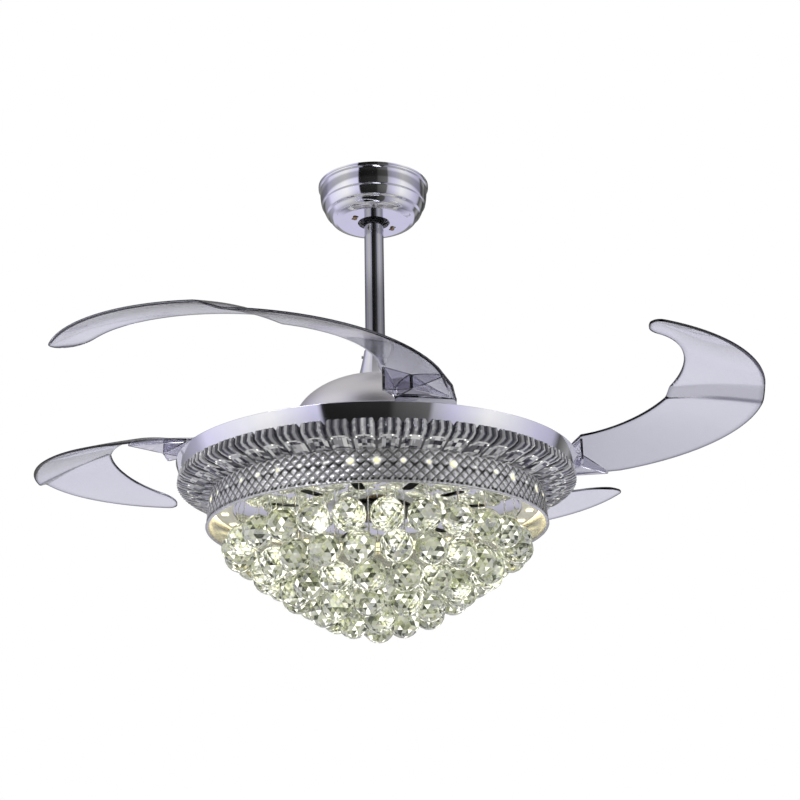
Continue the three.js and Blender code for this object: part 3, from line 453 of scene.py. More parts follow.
def glowing(colour, strength):
    """A soft light: brighter where its chips sit, which the mesh marks with glow."""
    def sockets(net):
        chip = net.attribute("glow")
        return {"Base Color": net.mix(net.noise(300), (0.80, 0.77, 0.66, 1), (0.92, 0.90, 0.80, 1)),
                "Roughness": 0.45,
                "Emission Color": net.mix(chip, (0, 0, 0, 1), (*colour, 1)),
                "Emission Strength": strength}
    return sockets


plastics = {
    "white_plastic": moulded((0.74, 0.74, 0.70), (0.82, 0.82, 0.78), 700),
    "black_plastic": moulded((0.010, 0.010, 0.010), (0.022, 0.022, 0.022), 700),
    "pale_paint": moulded((0.70, 0.70, 0.68), (0.78, 0.78, 0.76), 350),
    "black_paint": moulded((0.006, 0.005, 0.004), (0.016, 0.014, 0.010), 350),
    "led_silicone": glowing((1.0, 0.86, 0.52), 2.5),
    "led_board": glowing((1.0, 0.88, 0.46), 2.2)}
for name, sockets in plastics.items():
    finish(name, sockets)
print(len(plastics), "plastics and paints")

# %% [markdown]
# ## Clear acrylic and cut crystal
#
# The blades are clear acrylic with a lavender tint. In a studio, a clear sheet shows by its
# edges, where one looks through its whole width, so the mesh marks how near a point is to the
# edge and a painted shade darkens the colour there. It also marks the upright walls of the
# ribs, the thicker root and the small step across the blade, which all turn light aside, and
# the colour is darkened there too as painted shade. Cut crystal shows by its facets: each one
# throws light from another side of the room. The mesh gives each facet a number, and a ramp
# turns it into a painted reflection, the pale green, grey, white or dark that the facet throws;
# the brightest facets glow as painted glints.

# %% Clear finishes
def acrylic(net):
    # Painted shade: the colour darkens at the edges, on the upright rib walls, at the thicker root and most
    # in the crease of the step.
    edge, upright, root, step = (net.attribute(name) for name in ("edge", "upright", "root", "step"))
    flow = net.noise(7, 3)
    clear = net.mix(flow, (0.62, 0.62, 0.71, 1), (0.74, 0.73, 0.82, 1))
    body = net.mix(root, clear, (0.49, 0.49, 0.57, 1))
    walls = net.mix(upright, body, (0.57, 0.56, 0.64, 1))
    stepped = net.mix(step, walls, (0.10, 0.10, 0.14, 1))
    return {"Base Color": net.mix(edge, stepped, (0.24, 0.24, 0.30, 1)),
            "Roughness": 0.02 + 0.05 * flow,
            "IOR": 1.49,
            "Transmission Weight": 1.0,
            "Normal": net.bump(flow, 0.10, 0.002)}


def cut_crystal(stops, glint, transmission):
    """Faceted glass: stops paint each facet's reflection by its mark, and the last few glow as painted
    glints.
    """
    def sockets(net):
        facet = net.attribute("facet")
        spark = net.maths("GREATER_THAN", facet, glint)
        return {"Base Color": net.ramp(facet, stops, "CONSTANT"),
                "Roughness": 0.02 + 0.05 * net.noise(90),
                "IOR": 1.54,
                "Transmission Weight": transmission,
                "Emission Color": net.mix(spark, (0, 0, 0, 1), (1.0, 0.98, 0.86, 1)),
                "Emission Strength": 1.15}
    return sockets


# The stops are painted reflections: dark, olive, grey, pale yellow-green and white facets on the balls, and
# black to pale grey on the skirt; facets above the glint mark glow as painted glints.
ball_stops = [(0.0, (0.07, 0.08, 0.06)), (0.10, (0.34, 0.36, 0.26)), (0.22, (0.66, 0.68, 0.72)),
              (0.34, (0.74, 0.78, 0.50)), (0.50, (0.90, 0.93, 0.78)), (0.68, (0.97, 0.98, 0.92)),
              (0.86, (1.0, 0.99, 0.86))]
skirt_stops = [(0.0, (0.03, 0.03, 0.04)), (0.20, (0.13, 0.13, 0.14)), (0.40, (0.34, 0.34, 0.35)),
               (0.60, (0.58, 0.58, 0.59)), (0.80, (0.86, 0.86, 0.84))]
finish("clear_acrylic", acrylic)
finish("clear_crystal", cut_crystal(ball_stops, glint=0.915, transmission=0.72))
finish("skirt_crystal", cut_crystal(skirt_stops, glint=0.985, transmission=0.35))
print(len(finishes), "finishes so far")

# %% [markdown]
# ## Nodes of the frame that keep their shape
#
# Screws, nuts, pins, the bracket and the motor's inner pieces already have the right shape
# in the frame. They stay, and each gets the finish of its material slot; only the canopy's
# screws are darker, as the photo shows them. The lattice ring gets its own finish further on.

# %% Finish every node of the frame
slot_of = {row["node"]: row["material_slot"] for row in frame["record"]["subparts"]}
other_looks = {"canopy_screw_1": "bronze_nut", "canopy_screw_2": "bronze_nut",
               "lattice_ring": "bright_chrome"}
for name, node in frame["nodes"].items():
    node.data.materials.clear()
    node.data.materials.append(finishes[other_looks.get(name, slot_of[name])])
print("finished", len(slot_of), "nodes")

# %% [markdown]
# ## The canopy
#
# The chrome cup under the ceiling is a spun bowl with two soft steps. We write its side as a
# formula: a bowl that closes like a squashed circle, less two smooth steps. Its floor has a
# hole for the rod and two slanting slots, in which it hangs on its screws.

# %% Canopy
canopy_depth = -measure("canopy")[0]
canopy_radius, canopy_floor, canopy_hole, sheet_wall = 73.1, 46.7, 21.0, 1.2


def smooth_step(x, low, high):
    """0 below low, 1 above high, and an even S between them."""
    t = np.clip((x - low) / (high - low), 0, 1)
    return t * t * (3 - 2 * t)


def canopy_path():
    """Lip, bowl and floor: r = floor + belly * (1 - s^2.2)^(1/2) less the two steps."""
    lip, step, lip_share = 2.2, 1.4, 0.12
    share = np.linspace(lip_share, 0.97, 60)
    fall = (share - lip_share) / (1 - lip_share)
    bowl = canopy_floor + (canopy_radius - lip - canopy_floor) * np.sqrt(1 - fall ** 2.2)
    bowl -= step * smooth_step(share, 0.515, 0.555) + step * smooth_step(share, 0.755, 0.795)
    bowl += step * smooth_step(share, 0.80, 0.97)
    side = np.stack([bowl, -share * canopy_depth], axis=1)
    rim = softened([[canopy_radius, -0.3], [canopy_radius, -0.08 * canopy_depth],
                    [canopy_radius - lip, -0.12 * canopy_depth]], 1.2)[4:8]
    top = [[canopy_radius, -0.3]]
    floor = [[canopy_floor + 1.4, -0.985 * canopy_depth], [canopy_floor, -canopy_depth],
             [canopy_floor - 3, -canopy_depth], [canopy_hole, -canopy_depth]]
    return np.concatenate([top, rim, side, floor])


canopy = piece("canopy_cup", turned(walled(canopy_path()[::-1], sheet_wall)), "bright_chrome",
               "canopy", "ceiling_mount")
print("canopy", len(canopy.data.polygons), "faces")

# %% [markdown]
# A slot is easiest as a cut. The cutter is a short bar with round ends; Blender's exact
# boolean takes it out of the cup, and we keep the result as the cup's own mesh.

# %% Cutting helper and the canopy's slots
def prism(outline, foot, top):
    """An outline pushed up; foot and top are one height or one for each point."""
    outline = np.asarray(outline, float)
    count = len(outline)
    low = np.c_[outline, np.broadcast_to(foot, count)]
    high = np.c_[outline, np.broadcast_to(top, count)]
    here = np.arange(count)
    after = np.roll(here, -1)
    sides = np.stack([here, after, after + count, here + count], axis=1)
    return np.concatenate([low, high]), [*sides.tolist(), here[::-1].tolist(), (here + count).tolist()]


def bar_with_round_ends(length, width, foot, top, steps=10):
    """A prism on a slot's outline, long along X."""
    half, turn = (length - width) / 2, np.linspace(-np.pi / 2, np.pi / 2, steps)
    ahead = np.stack([half + width / 2 * np.cos(turn), width / 2 * np.sin(turn)], axis=1)
    return prism(np.concatenate([ahead, -ahead]), foot, top)


def on_circle(radius, degrees):
    """The place (x, y) on a circle round the axis."""
    angle = np.radians(degrees)
    return radius * np.array([np.cos(angle), np.sin(angle)])


def spin(points, degrees, x=0.0, y=0.0):
    """Points turned about the Z axis and then moved."""
    c, s = np.cos(np.radians(degrees)), np.sin(np.radians(degrees))
    turn = np.array([[c, s, 0], [-s, c, 0], [0, 0, 1]])
    return np.asarray(points) @ turn + [x, y, 0]


def spun(shape, degrees, x=0.0, y=0.0):
    """A shape turned about the Z axis and then moved."""
    return spin(shape[0], degrees, x, y), shape[1]


def raw(shape):
    """A bare object to cut or join with."""
    tool = bpy.data.objects.new("tool", mesh_of("tool", shape))
    bpy.context.scene.collection.objects.link(tool)
    return tool


def combine(target, shapes, operation):
    """Cut or join the target with each shape, and keep the result as its mesh."""
    for shape in shapes:
        tool = raw(shape)
        step = target.modifiers.new("combine", "BOOLEAN")
        step.operation = operation
        step.solver = "EXACT"
        step.object = tool
        bpy.context.view_layer.update()
        result = target.evaluated_get(bpy.context.evaluated_depsgraph_get())
        mesh = bpy.data.meshes.new_from_object(result)
        target.modifiers.clear()
        target.data = mesh
        bpy.data.objects.remove(tool)
    target.data.set_sharp_from_angle(angle=np.radians(35))


screw_circle, screw_angle = 29.6, 34
slot = bar_with_round_ends(13, 5, -canopy_depth - 2, -canopy_depth + 4)
combine(canopy, [spun(slot, screw_angle + 90, *on_circle(screw_circle, screw_angle + side))
                 for side in (0, 180)], "DIFFERENCE")
print("canopy with slots", len(canopy.data.polygons), "faces")

# %% [markdown]
# ## Ball, downrod and neck
#
# The rod is standard one inch tube. It hangs in the bracket by a plastic ball, and a small
# chrome bell hides its lower joint. All three are turned profiles.

# %% Ball, rod and neck cover
rod_foot, rod_top, _ = measure("downrod")
rod_radius, rod_wall, rod_room = 12.7, 1.8, 0.8
tube = softened([[rod_radius - rod_wall, rod_foot], [rod_radius, rod_foot],
                 [rod_radius, rod_top], [rod_radius - rod_wall, rod_top]], 0.4)
piece("chrome_rod", turned(tube, 72), "rod_chrome", "downrod")

ball_foot, ball_top, hanger_radius = measure("hanger_ball")
height = np.linspace(ball_foot, ball_top, 28)
bulge = np.sqrt(hanger_radius ** 2 - (height - (ball_top - 14)) ** 2)
bore = rod_radius + rod_room
profile = np.concatenate([[[bore, ball_foot]], np.stack([bulge, height], axis=1), [[bore, ball_top]]])
piece("plastic_ball", turned(profile, 72), "black_plastic", "hanger_ball")

neck_top = measure("neck_cover")[1]
dome_rim, dome_top, _ = np.array(measure("dome_cover")) - [18, 13.1, 0]
neck_foot = dome_top + 0.3


def neck_path(steps=40):
    """A bell: radius = collar + flare * (1 - s)^1.15, s from the foot up, with a small foot."""
    share = np.linspace(0, 1, steps)
    radius = 14.4 + 9.0 * (1 - share) ** 1.15 + 1.4 * np.exp(-share * 25)
    side = np.stack([radius, neck_foot + share * (neck_top - neck_foot)], axis=1)
    return np.concatenate([side, [[rod_radius + 0.5, neck_top]]])


piece("neck_bell", turned(walled(neck_path(), sheet_wall), 96), "bright_chrome", "neck_cover")
print("rod", round(rod_top - rod_foot), "mm, neck", round(neck_top - neck_foot, 1), "mm")

# %% [markdown]
# ## The dome
#
# The satin bowl over the motor falls away from its flat top at once and ends in an upright
# rim. The photo shows it lower and deeper than the plain solid of the frame, with its rim
# hidden by the chrome band, so this dome sits 13 mm lower and reaches 18 mm further down. Six
# narrow slots near the neck let the motor's warm air out.

# %% Dome cover
dome_flat, dome_radius, dome_hole = 34.0, 104.5, 17.8


def dome_path(steps=90):
    """z falls from the flat top by height * (1 - (1 - s^1.24)^0.43)^1.03, s from flat to rim."""
    share = 1 - np.linspace(1, 0, steps) ** 2.4
    fall = (dome_top - dome_rim) * (1 - (1 - share ** 1.24) ** 0.43) ** 1.03
    side = np.stack([dome_flat + (dome_radius - dome_flat) * share, dome_top - fall], axis=1)
    return np.concatenate([[[dome_hole, dome_top], [dome_flat * 0.8, dome_top]], side])


dome = piece("satin_dome", turned(walled(dome_path(), -sheet_wall)), "satin_nickel", "dome_cover")
vent = spun(bar_with_round_ends(9, 2.6, dome_top - 14, dome_top + 6), 0, dome_flat + 9)
combine(dome, [spun(vent, 60 * number + 30) for number in range(6)], "DIFFERENCE")
print("dome", len(dome.data.polygons), "faces")

# %% [markdown]
# The rod's socket holds the dome by a flange, and three pan head screws go through both. They
# follow the lower dome. The socket itself stays where the frame has it, because the rod and
# the shaft end in it. A screw is a turned head and shank, and its slot is a cut.

# %% Yoke and dome screws
yoke_top = measure("motor_yoke")[1]
flange_top = dome_top - sheet_wall - 0.3
web_foot = measure("motor_shaft")[1] + 0.3
yoke = softened([[7.9, flange_top - 20], [16, flange_top - 20], [16, flange_top - 3],
                 [31.5, flange_top - 3], [31.5, flange_top], [16.6, flange_top], [16.6, yoke_top],
                 [13.1, yoke_top], [13.1, web_foot + 3], [4.5, web_foot + 3], [4.5, web_foot],
                 [7.9, web_foot]], 0.5, 2)
piece("rod_socket", turned(yoke, 72), "cast_alloy", "motor_yoke")

head = softened([[0.02, dome_top + 0.2], [3.5, dome_top + 0.2], [3.3, dome_top + 1.9],
                 [0.02, dome_top + 2.4]], 0.8)
shank = softened([[0.02, flange_top - 5], [1.9, flange_top - 5], [1.9, dome_top + 0.4],
                  [0.02, dome_top + 0.4]], 0.3, 2)
slot = bar_with_round_ends(8, 0.9, dome_top + 1.4, dome_top + 4)
dome_screw_circle = 28.2
for number in range(3):
    place = on_circle(dome_screw_circle, 150 + 120 * number)
    screw = piece(f"dome_pan_screw_{number + 1}", spun(turned(head, 24), 0, *place), "zinc_steel",
                  f"dome_screw_{number + 1}")
    combine(screw, [spun(turned(shank, 16), 0, *place)], "UNION")
    combine(screw, [spun(slot, 40 * number, *place)], "DIFFERENCE")
print("socket flange", round(flange_top, 1), "mm, screws on a circle of", dome_screw_circle, "mm")

# %% [markdown]
# ## Motor case and blade tray
#
# The motor turns on its outside: its case is two cast cups, and the tray that carries the
# blades is screwed under it. Most of it hides under the dome and over the lamp, but it shows
# from the side and from above, so its shells are turned smooth as well.

# %% Motor shells
shell_inner, shell_radius, shell_corner, shell_wall = 8.5, 88.0, 9.0, 2.5


def shell_profile(foot, lip, way):
    """A cup with a rounded corner: foot, corner arc, side and lip, then back inside the wall."""
    arc = np.linspace(-np.pi / 2, 0, 9)
    corner = np.stack([shell_radius - shell_corner * (1 - np.cos(arc)),
                       foot + way * shell_corner * (1 + np.sin(arc))], axis=1)
    inner = corner[::-1] - [shell_wall, 0]
    inner[:, 1] += way * shell_wall * (corner[::-1, 0] < shell_radius - 2)
    lips = [[shell_radius, lip], [shell_radius - shell_wall, lip]]
    return np.concatenate([[[shell_inner, foot]], corner, lips, inner,
                           [[shell_inner, foot + way * shell_wall]]])


for half, way in (("lower", 1), ("upper", -1)):
    low, high, _ = measure(f"rotor_{half}_shell")
    foot, lip = (low, high) if way > 0 else (high, low)
    piece(f"motor_{half}_cup", turned(shell_profile(foot, lip, way), 120), "cast_alloy",
          f"rotor_{half}_shell", ROTOR)
print("motor case", 2 * shell_radius, "mm across")

# %% [markdown]
# The tray is a flat disc with four round windows, and with a boss and a bolt hole at each
# pivot. Boss, hole and window are made once and placed four times, a quarter turn apart.

# %% Tray with windows and pivot bosses
tray_radius, tray_bore, window_radius = 206.0, 18.0, 27.0
pivot = np.array([178.0, 57.0])
tray_foot, boss_top, _ = measure("blade_tray")
tray_top = tray_foot + 2.5
bolt_hole = 4.3


def disc(outer, inner, foot, top, steps=ROUND_STEPS, rows=2):
    """A flat ring with softened corners."""
    return turned(softened([[inner, foot], [outer, foot], [outer, top], [inner, top]], 0.5, rows), steps)


def cylinder(radius, foot, top, steps=32):
    """A round bar: a slot whose two ends have run together."""
    return bar_with_round_ends(2 * radius + 1e-3, 2 * radius, foot, top, steps // 2)


tray = piece("blade_carrier", disc(tray_radius, tray_bore, tray_foot, tray_top), "zinc_steel",
             "blade_tray", ROTOR)
pivot_angle = np.degrees(np.arctan2(pivot[1], pivot[0]))
boss = spun(cylinder(7, tray_top - 1, boss_top), 0, *pivot)
hole = spun(cylinder(bolt_hole, tray_foot - 2, boss_top + 2), 0, *pivot)
window = spun(cylinder(window_radius, tray_foot - 2, tray_top + 2, 64), 0, (shell_radius + tray_radius) / 2)
cutters = []
for quarter in range(4):
    cutters += [spun(hole, -90 * quarter), spun(window, pivot_angle + 45 + 90 * quarter)]
combine(tray, [spun(boss, -90 * quarter) for quarter in range(4)], "UNION")
combine(tray, cutters, "DIFFERENCE")
print("tray", len(tray.data.polygons), "faces")

# %% [markdown]
# ## Return springs
#
# A torsion spring round each pivot pulls its blade in when the fan stops. It is one wire on
# a helix, with a straight leg at each end. We carry a small circle along that path: the
# helix and its legs give the points, and the direction there gives the circle's plane.

# %% Springs
def swept(path, radius, sides=10):
    """A closed tube: circles of one radius in the planes square to the path, capped flat."""
    path = np.asarray(path, float)
    way = np.gradient(path, axis=0)
    way /= np.linalg.norm(way, axis=1, keepdims=True)
    steady = np.where(np.abs(way[:, 2:]) > 0.9, [[1.0, 0, 0]], [[0, 0, 1.0]])
    across = np.cross(way, steady)
    across /= np.linalg.norm(across, axis=1, keepdims=True)
    over = np.cross(across, way)
    angle = np.linspace(0, 2 * np.pi, sides, endpoint=False)
    ring = across[:, None] * np.cos(angle)[:, None] + over[:, None] * np.sin(angle)[:, None]
    points = path[:, None] + radius * ring
    return points.reshape(-1, 3), tube_faces(len(path), sides)


def spring_path(turns=2.5, radius=8.8, leg=15.0, steps=160):
    """A helix round the boss from the tray to the blade, with a straight leg at each end."""
    coil = 2 * np.pi * radius * turns
    way = np.linspace(-leg, coil + leg, steps)
    along = np.clip(way, 0, coil)
    past = way - along
    angle = along / radius
    foot = tray_top + 0.3 + spring_wire
    rise = boss_top + 0.3 - tray_top - 0.6 - 2 * spring_wire
    x = radius * np.cos(angle) - past * np.sin(angle)
    y = radius * np.sin(angle) + past * np.cos(angle)
    return np.stack([x, y, foot + rise * along / coil], axis=1)


spring_wire = 0.9
spring = swept(spin(spring_path(), 200, *pivot), spring_wire)
for quarter in range(4):
    piece(f"torsion_spring_{quarter + 1}", spun(spring, -90 * quarter), "bare_steel",
          f"return_spring_{quarter + 1}", ROTOR, sharp=60)
print("spring wire", len(spring[1]), "faces each")

# %% [markdown]
# ## The lamp's shells
#
# Pan, chrome band and drum are spun sheets. Each is a closed outline of the sheet's own cross
# section, with its corners softened a little, carried round the axis. The drum is bright
# inside, so that the crystals show again in its wall.

# %% Chrome band, pan and drum
band_foot, band_top, band_radius = measure("chrome_band")
taper, band_wall = 8.5, 1.5
foot_radius = band_radius - taper
band = softened([[band_radius - 4, band_top], [band_radius, band_top], [foot_radius, band_foot],
                 [foot_radius - 7, band_foot], [foot_radius - 7, band_foot + band_wall],
                 [foot_radius - 1, band_foot + band_wall], [band_radius - 2, band_top - band_wall],
                 [band_radius - 4, band_top - band_wall]], 1.0, 4)
piece("slanted_band", turned(band, 240), "bright_chrome", "chrome_band")

pan_foot, pan_top, pan_radius = measure("lamp_pan")
pan = softened([[8, pan_foot], [pan_radius - 3.7, pan_foot], [pan_radius, pan_top],
                [pan_radius - 1.6, pan_top], [pan_radius - 5, pan_foot + 1.5], [8, pan_foot + 1.5]], 0.8)
piece("shallow_pan", turned(pan), "pale_paint", "lamp_pan")

drum_foot, drum_top, drum_radius = measure("lamp_drum")
drum_mouth, drum_lip = drum_radius - 13, drum_radius - 31
drum = softened([[drum_mouth, drum_top - sheet_wall], [drum_radius - sheet_wall, drum_top - sheet_wall],
                 [drum_radius - sheet_wall, drum_foot + sheet_wall], [drum_lip, drum_foot + sheet_wall],
                 [drum_lip, drum_foot], [drum_radius, drum_foot], [drum_radius, drum_top],
                 [drum_mouth, drum_top]], 0.5)
piece("inner_drum", turned(drum), "mirror_chrome", "lamp_drum")
print("band", 2 * band_radius, "mm across, drum", round(2 * drum_radius), "mm")

# %% [markdown]
# ## The skirt of glass blocks
#
# Fifty-two clear blocks stand side by side under the band. Each has three flutes near its
# top and is cut to a point below, with a deep V between neighbours. All of that is one
# formula for how far the ring's outline is set back: u runs from 0 to 1 over one block, and
# the set-back is groove(u) + flute * (1 + cos 6 pi u) / 2 + point * |2u - 1|, each with its
# own share at every height. The blocks' outer tops rise a little past the band's foot, and
# fall back in the grooves, so the row looks saw-toothed in front of the band. What a block
# throws back follows its cut as well: dark flutes between bright lines, a bright arc below
# them, and under the arc a gem of mixed facets.

# %% Crystal skirt
rng = np.random.default_rng(5)
skirt_foot, skirt_top, _ = measure("crystal_skirt")
skirt_reach, groove_depth, band_overlap, flutes_end = 248.0, 6, 5.5, 5.62
blocks, cuts = 52, 18
column = np.arange(blocks * cuts)
angle = np.linspace(0, 2 * np.pi, len(column), endpoint=False)[:, None]
u = (column % cuts)[:, None] / cuts
groove = groove_depth * np.clip(1 - np.minimum(u, 1 - u) / 0.16, 0, 1)
flute = (1 + np.cos(6 * np.pi * u)) / 2
point_cut = np.abs(2 * u - 1)
skirt_profile = np.array([
    # radius, share of the height, groove, flute, point, lift
    (drum_radius + 0.5, 0.0, 0, 0, 0, 0), (foot_radius + 0.7, 0.0, 0, 0, 0, 0),
    (foot_radius + 2.3, 0.0, 0, 0, 0, band_overlap),
    (skirt_reach - 1.2, 0.0, 0.15, 2.0, 0, band_overlap),
    (skirt_reach, 0.27, 1, 2.2, 0, 0), (skirt_reach - 5, 0.45, 1, 1.2, 0.5, 0),
    (skirt_reach - 17, 0.66, 1, 0.2, 2.5, 0), (218.0, 0.98, 1, 0, 5.0, 0),
    (214.0, 1.0, 0.6, 0, 3.0, 0), (drum_radius + 0.5, 1.0, 0, 0, 0, 0)])
along = np.array([0, 1, 2, 3, 3.3, 3.6, 4, 4.5, 5, 5.35, 5.6, 5.8, 6, 6.2, 6.4, 6.7, 7, 8, 9])
r, height_share, g, f, p, lift = (np.interp(along, np.arange(10), values) for values in skirt_profile.T)
radius = r - g * groove - f * flute - p * point_cut
height = skirt_top + (skirt_foot - skirt_top) * height_share + lift * (1 - groove / groove_depth)
skirt = round_points(radius, angle, height)[:, ::-1], grid_faces(*radius.shape)


def block_shine(block, u, step):
    """Painted reflection of a facet, 0 dark to 1 bright, from its block and its place in the block."""
    flutes = 0.55 + 0.45 * rng.random((blocks, 3))
    stripe = (0.42 - 0.40 * np.cos(6 * np.pi * u)) * flutes[block, (2.99 * u).astype(int)] + 0.04
    below_arc = step - (flutes_end + 3.0 * (u - 0.5) ** 2)
    gems = rng.random((blocks, 5, 6)) ** 1.2
    gem = gems[block, (4.99 * u).astype(int), (1.8 * step).astype(int) % 6]
    shine = np.where(below_arc < 0, stripe, 0.12 + 0.8 * gem)
    shine = np.maximum(shine, 0.97 * np.exp(-(below_arc / 0.17) ** 2))
    # Painted shade: the V grooves between neighbouring blocks stay dark.
    return np.where(np.abs(u - 0.5) > 0.45, 0.04 + 0.22 * (step > 5.6), shine)


middle_u = ((column % cuts + 0.5) / cuts)[:, None]
middle_step = ((along + np.roll(along, -1)) / 2)[None, :]
# Each facet's mark is its painted reflection, dark in the V grooves as painted shade, with a little random
# spread.
painted_shine = block_shine((column // cuts)[:, None], middle_u, middle_step)
painted_shine = np.clip(painted_shine + 0.12 * (rng.random(painted_shine.shape) - 0.5), 0, 0.999)
backwards = (len(along) - 2 - np.arange(len(along))) % len(along)
piece("fluted_glass_blocks", skirt, "skirt_crystal", "crystal_skirt", sharp=12,
      marks={"facet": ("FACE", painted_shine[:, backwards])})
print("skirt", painted_shine.size, "faces")

# %% [markdown]
# ## The lattice ring
#
# Under the skirt is a plated ring with a crisscross relief, through which the light strip
# shines as a row of spots. With u counted in pads round the ring and v in rows down it,
# narrow grooves lie where u + v or u - v is a whole number, as exp(-(distance / w)^2), and
# what is left between them stands up as small bright pads. The mesh marks where the colour
# is painted dark: painted shade in the grooves, a painted shadow row across the middle and
# dark dashes along the lower edge. It also marks the spots, the strip's light painted on the
# solid ring, which glow, some warm and strong and some small and white.

# %% Lattice ring
lattice_foot, lattice_top, _ = measure("lattice_ring")
pads, rows, spots, spot_ring = 108, 3, 44, 208
angle = np.linspace(0, 2 * np.pi, pads * 10, endpoint=False)[:, None]
share = np.linspace(0, 1, rows * 12 + 1)[None, :]


def line(number, width=0.10):
    """1 where a number is whole, and 0 away from there."""
    return np.exp(-((number - np.round(number)) / width) ** 2)


u, v = pads * angle / (2 * np.pi), rows * share
# The mark below is painted shade in the grooves, a painted shadow row and dark dashes at the foot.
dent = np.maximum(line(u + v), line(u - v))
pillow = np.abs(np.sin(np.pi * (u + v)) * np.sin(np.pi * (u - v)))
relief = 207.2 + 2.5 * share + 1.3 * pillow ** 0.5
relief_height = (lattice_top - 1.4) + (lattice_foot + 3 - lattice_top + 1.4) * share
shadow_row = 0.75 * np.exp(-((share - 0.46) / 0.07) ** 2) * (pillow < 0.55)
dotted = (share > 0.93) * (np.sin(4 * np.pi * u) > 0)
dent = np.clip(dent + shadow_row + dotted, 0, 1)

# The spots are the strip's light painted on the solid ring, as a glow.
spot_place = angle * spots / (2 * np.pi)
spot_number = np.round(spot_place).astype(int) % spots
spot_way = (spot_place - np.round(spot_place)) * 2 * np.pi * spot_ring / spots
spot_power = rng.choice([0.25, 0.55, 0.9, 1.0], spots)[spot_number]
spot_size = 1.5 + 1.9 * spot_power
spot = spot_power * np.exp(-(spot_way / spot_size) ** 2 - ((share - 0.36) * 36 / spot_size) ** 2)

beads = 0.5 * np.abs(np.sin(2 * np.pi * u))
rim = [(210.6 + beads, lattice_foot + 2.4), (211.4 + beads, lattice_foot + 1.2),
       (210.8 + beads, lattice_foot), (208.0, lattice_foot), (207.2, lattice_foot + 3),
       (205.6, lattice_top - 2), (drum_radius + 0.5, lattice_top - 1.6),
       (drum_radius + 0.5, lattice_top), (208.0, lattice_top)]
rim_radius = [np.broadcast_to(r, u.shape) for r, _ in rim]
rim_height = [np.full_like(u, z) for _, z in rim]
radius = np.concatenate([relief, *rim_radius], axis=1)
height = np.concatenate([relief_height + 0 * u, *rim_height], axis=1)
plain = np.zeros((len(angle), len(rim)))
lattice = round_points(radius, angle, height)[:, ::-1], grid_faces(*radius.shape)


def plated_lattice(net):
    shade_and_dash_mark, glow = net.attribute("dent"), net.attribute("glow")
    tone = net.mix(net.noise(140, 4), (0.40, 0.40, 0.39, 1), (0.95, 0.95, 0.92, 1))
    light = net.ramp(glow, [(0.0, (0, 0, 0)), (0.22, (0.60, 0.60, 0.58)), (0.34, (0.62, 0.58, 0.34)),
                            (0.60, (0.88, 0.82, 0.38)), (1.0, (1.0, 0.97, 0.62))])
    # Painted shade and the dashes darken the colour where marked; the spots glow as the strip's painted
    # light.
    return {"Base Color": net.mix(shade_and_dash_mark, tone, (0.035, 0.035, 0.03, 1)),
            "Metallic": 0.75,
            "Roughness": 0.22 + 0.3 * shade_and_dash_mark,
            "Emission Color": light,
            "Emission Strength": 1.25}


finish("silver_lattice", plated_lattice)
piece("crisscross_ring", lattice, "silver_lattice", "lattice_ring", sharp=70,
      marks={"dent": ("POINT", np.concatenate([dent, plain], axis=1)[:, ::-1]),
             "glow": ("POINT", np.concatenate([spot, plain], axis=1)[:, ::-1])})
print("lattice", radius.size, "points")

# %% [markdown]
# ## Light strip and light board
#
# A silicone strip runs round the drum behind the lattice, and a ring board round the mirrors
# carries two dozen square chips that face down. The chips are short prisms, and we put many
# closed shells into one mesh by shifting their face numbers.

# %% Lights of the lamp
def together(shells):
    """Several (points, faces) as one: each shell's face numbers shift by the points before it."""
    points, faces, start = [], [], 0
    for shell_points, shell_faces in shells:
        shell_points = np.asarray(shell_points).reshape(-1, 3)
        points.append(shell_points)
        faces += [[corner + start for corner in face] for face in shell_faces]
        start += len(shell_points)
    return np.concatenate(points), faces


def chip(size, thick, cut=0.4):
    """A square prism with its upright edges cut back, centred on the origin."""
    half = size / 2
    ring = [(half, cut - half), (half, half - cut), (half - cut, half), (cut - half, half),
            (-half, half - cut), (-half, cut - half), (cut - half, -half), (half - cut, -half)]
    return prism(ring, -thick / 2, thick / 2)


strip_foot, strip_top, _ = measure("led_strip")
strip = disc(drum_radius + 1.7, drum_radius + 0.4, strip_foot, strip_top, rows=3)
piece("soft_light_strip", strip, "led_silicone", "led_strip",
      marks={"glow": ("FACE", np.ones(len(strip[1])))})

_, board_top, board_outer = measure("led_board")
board = disc(board_outer, board_outer - 21, board_top - 1.2, board_top)
chip_points, chip_faces = chip(8, 1.3)
chips = (chip_points + [board_outer - 10.5, 0, board_top - 1.8], chip_faces)
chip_count = 24
shells = [board, *[spun(chips, 360 / chip_count * place) for place in range(chip_count)]]
glow = np.concatenate([np.zeros(len(board[1])), np.ones(chip_count * len(chip_faces))])
piece("light_board", together(shells), "led_board", "led_board", marks={"glow": ("FACE", glow)})
print(chip_count, "chips on a board", round(2 * board_outer), "mm across")

# %% [markdown]
# ## Mirrors
#
# Four quarter mirrors make the disc from which the crystal balls hang. Three slots in each
# let light and air through, and look dark from below. The small black plate in the middle
# overlaps their inner edges.

# %% Mirror plates and centre plate
mirror_top = measure("mirror_plate_1")[1]
mirror_foot = mirror_top - 1.5
mirror_inner, mirror_outer, seam = 43.0, 176.0, 34.2


def sector(inner, outer, start, end, foot, top, steps=60):
    """A flat ring's part between two angles, 0.15 mm short of each, with closed ends."""
    r, z = softened([[inner, foot], [outer, foot], [outer, top], [inner, top]], 0.3, 2).T
    trim = 0.15 / r
    share = np.linspace(0, 1, steps)[:, None]
    angle = np.radians(start) + trim + (np.radians(end - start) - 2 * trim) * share
    return round_points(r, angle, z), tube_faces(steps, len(r))


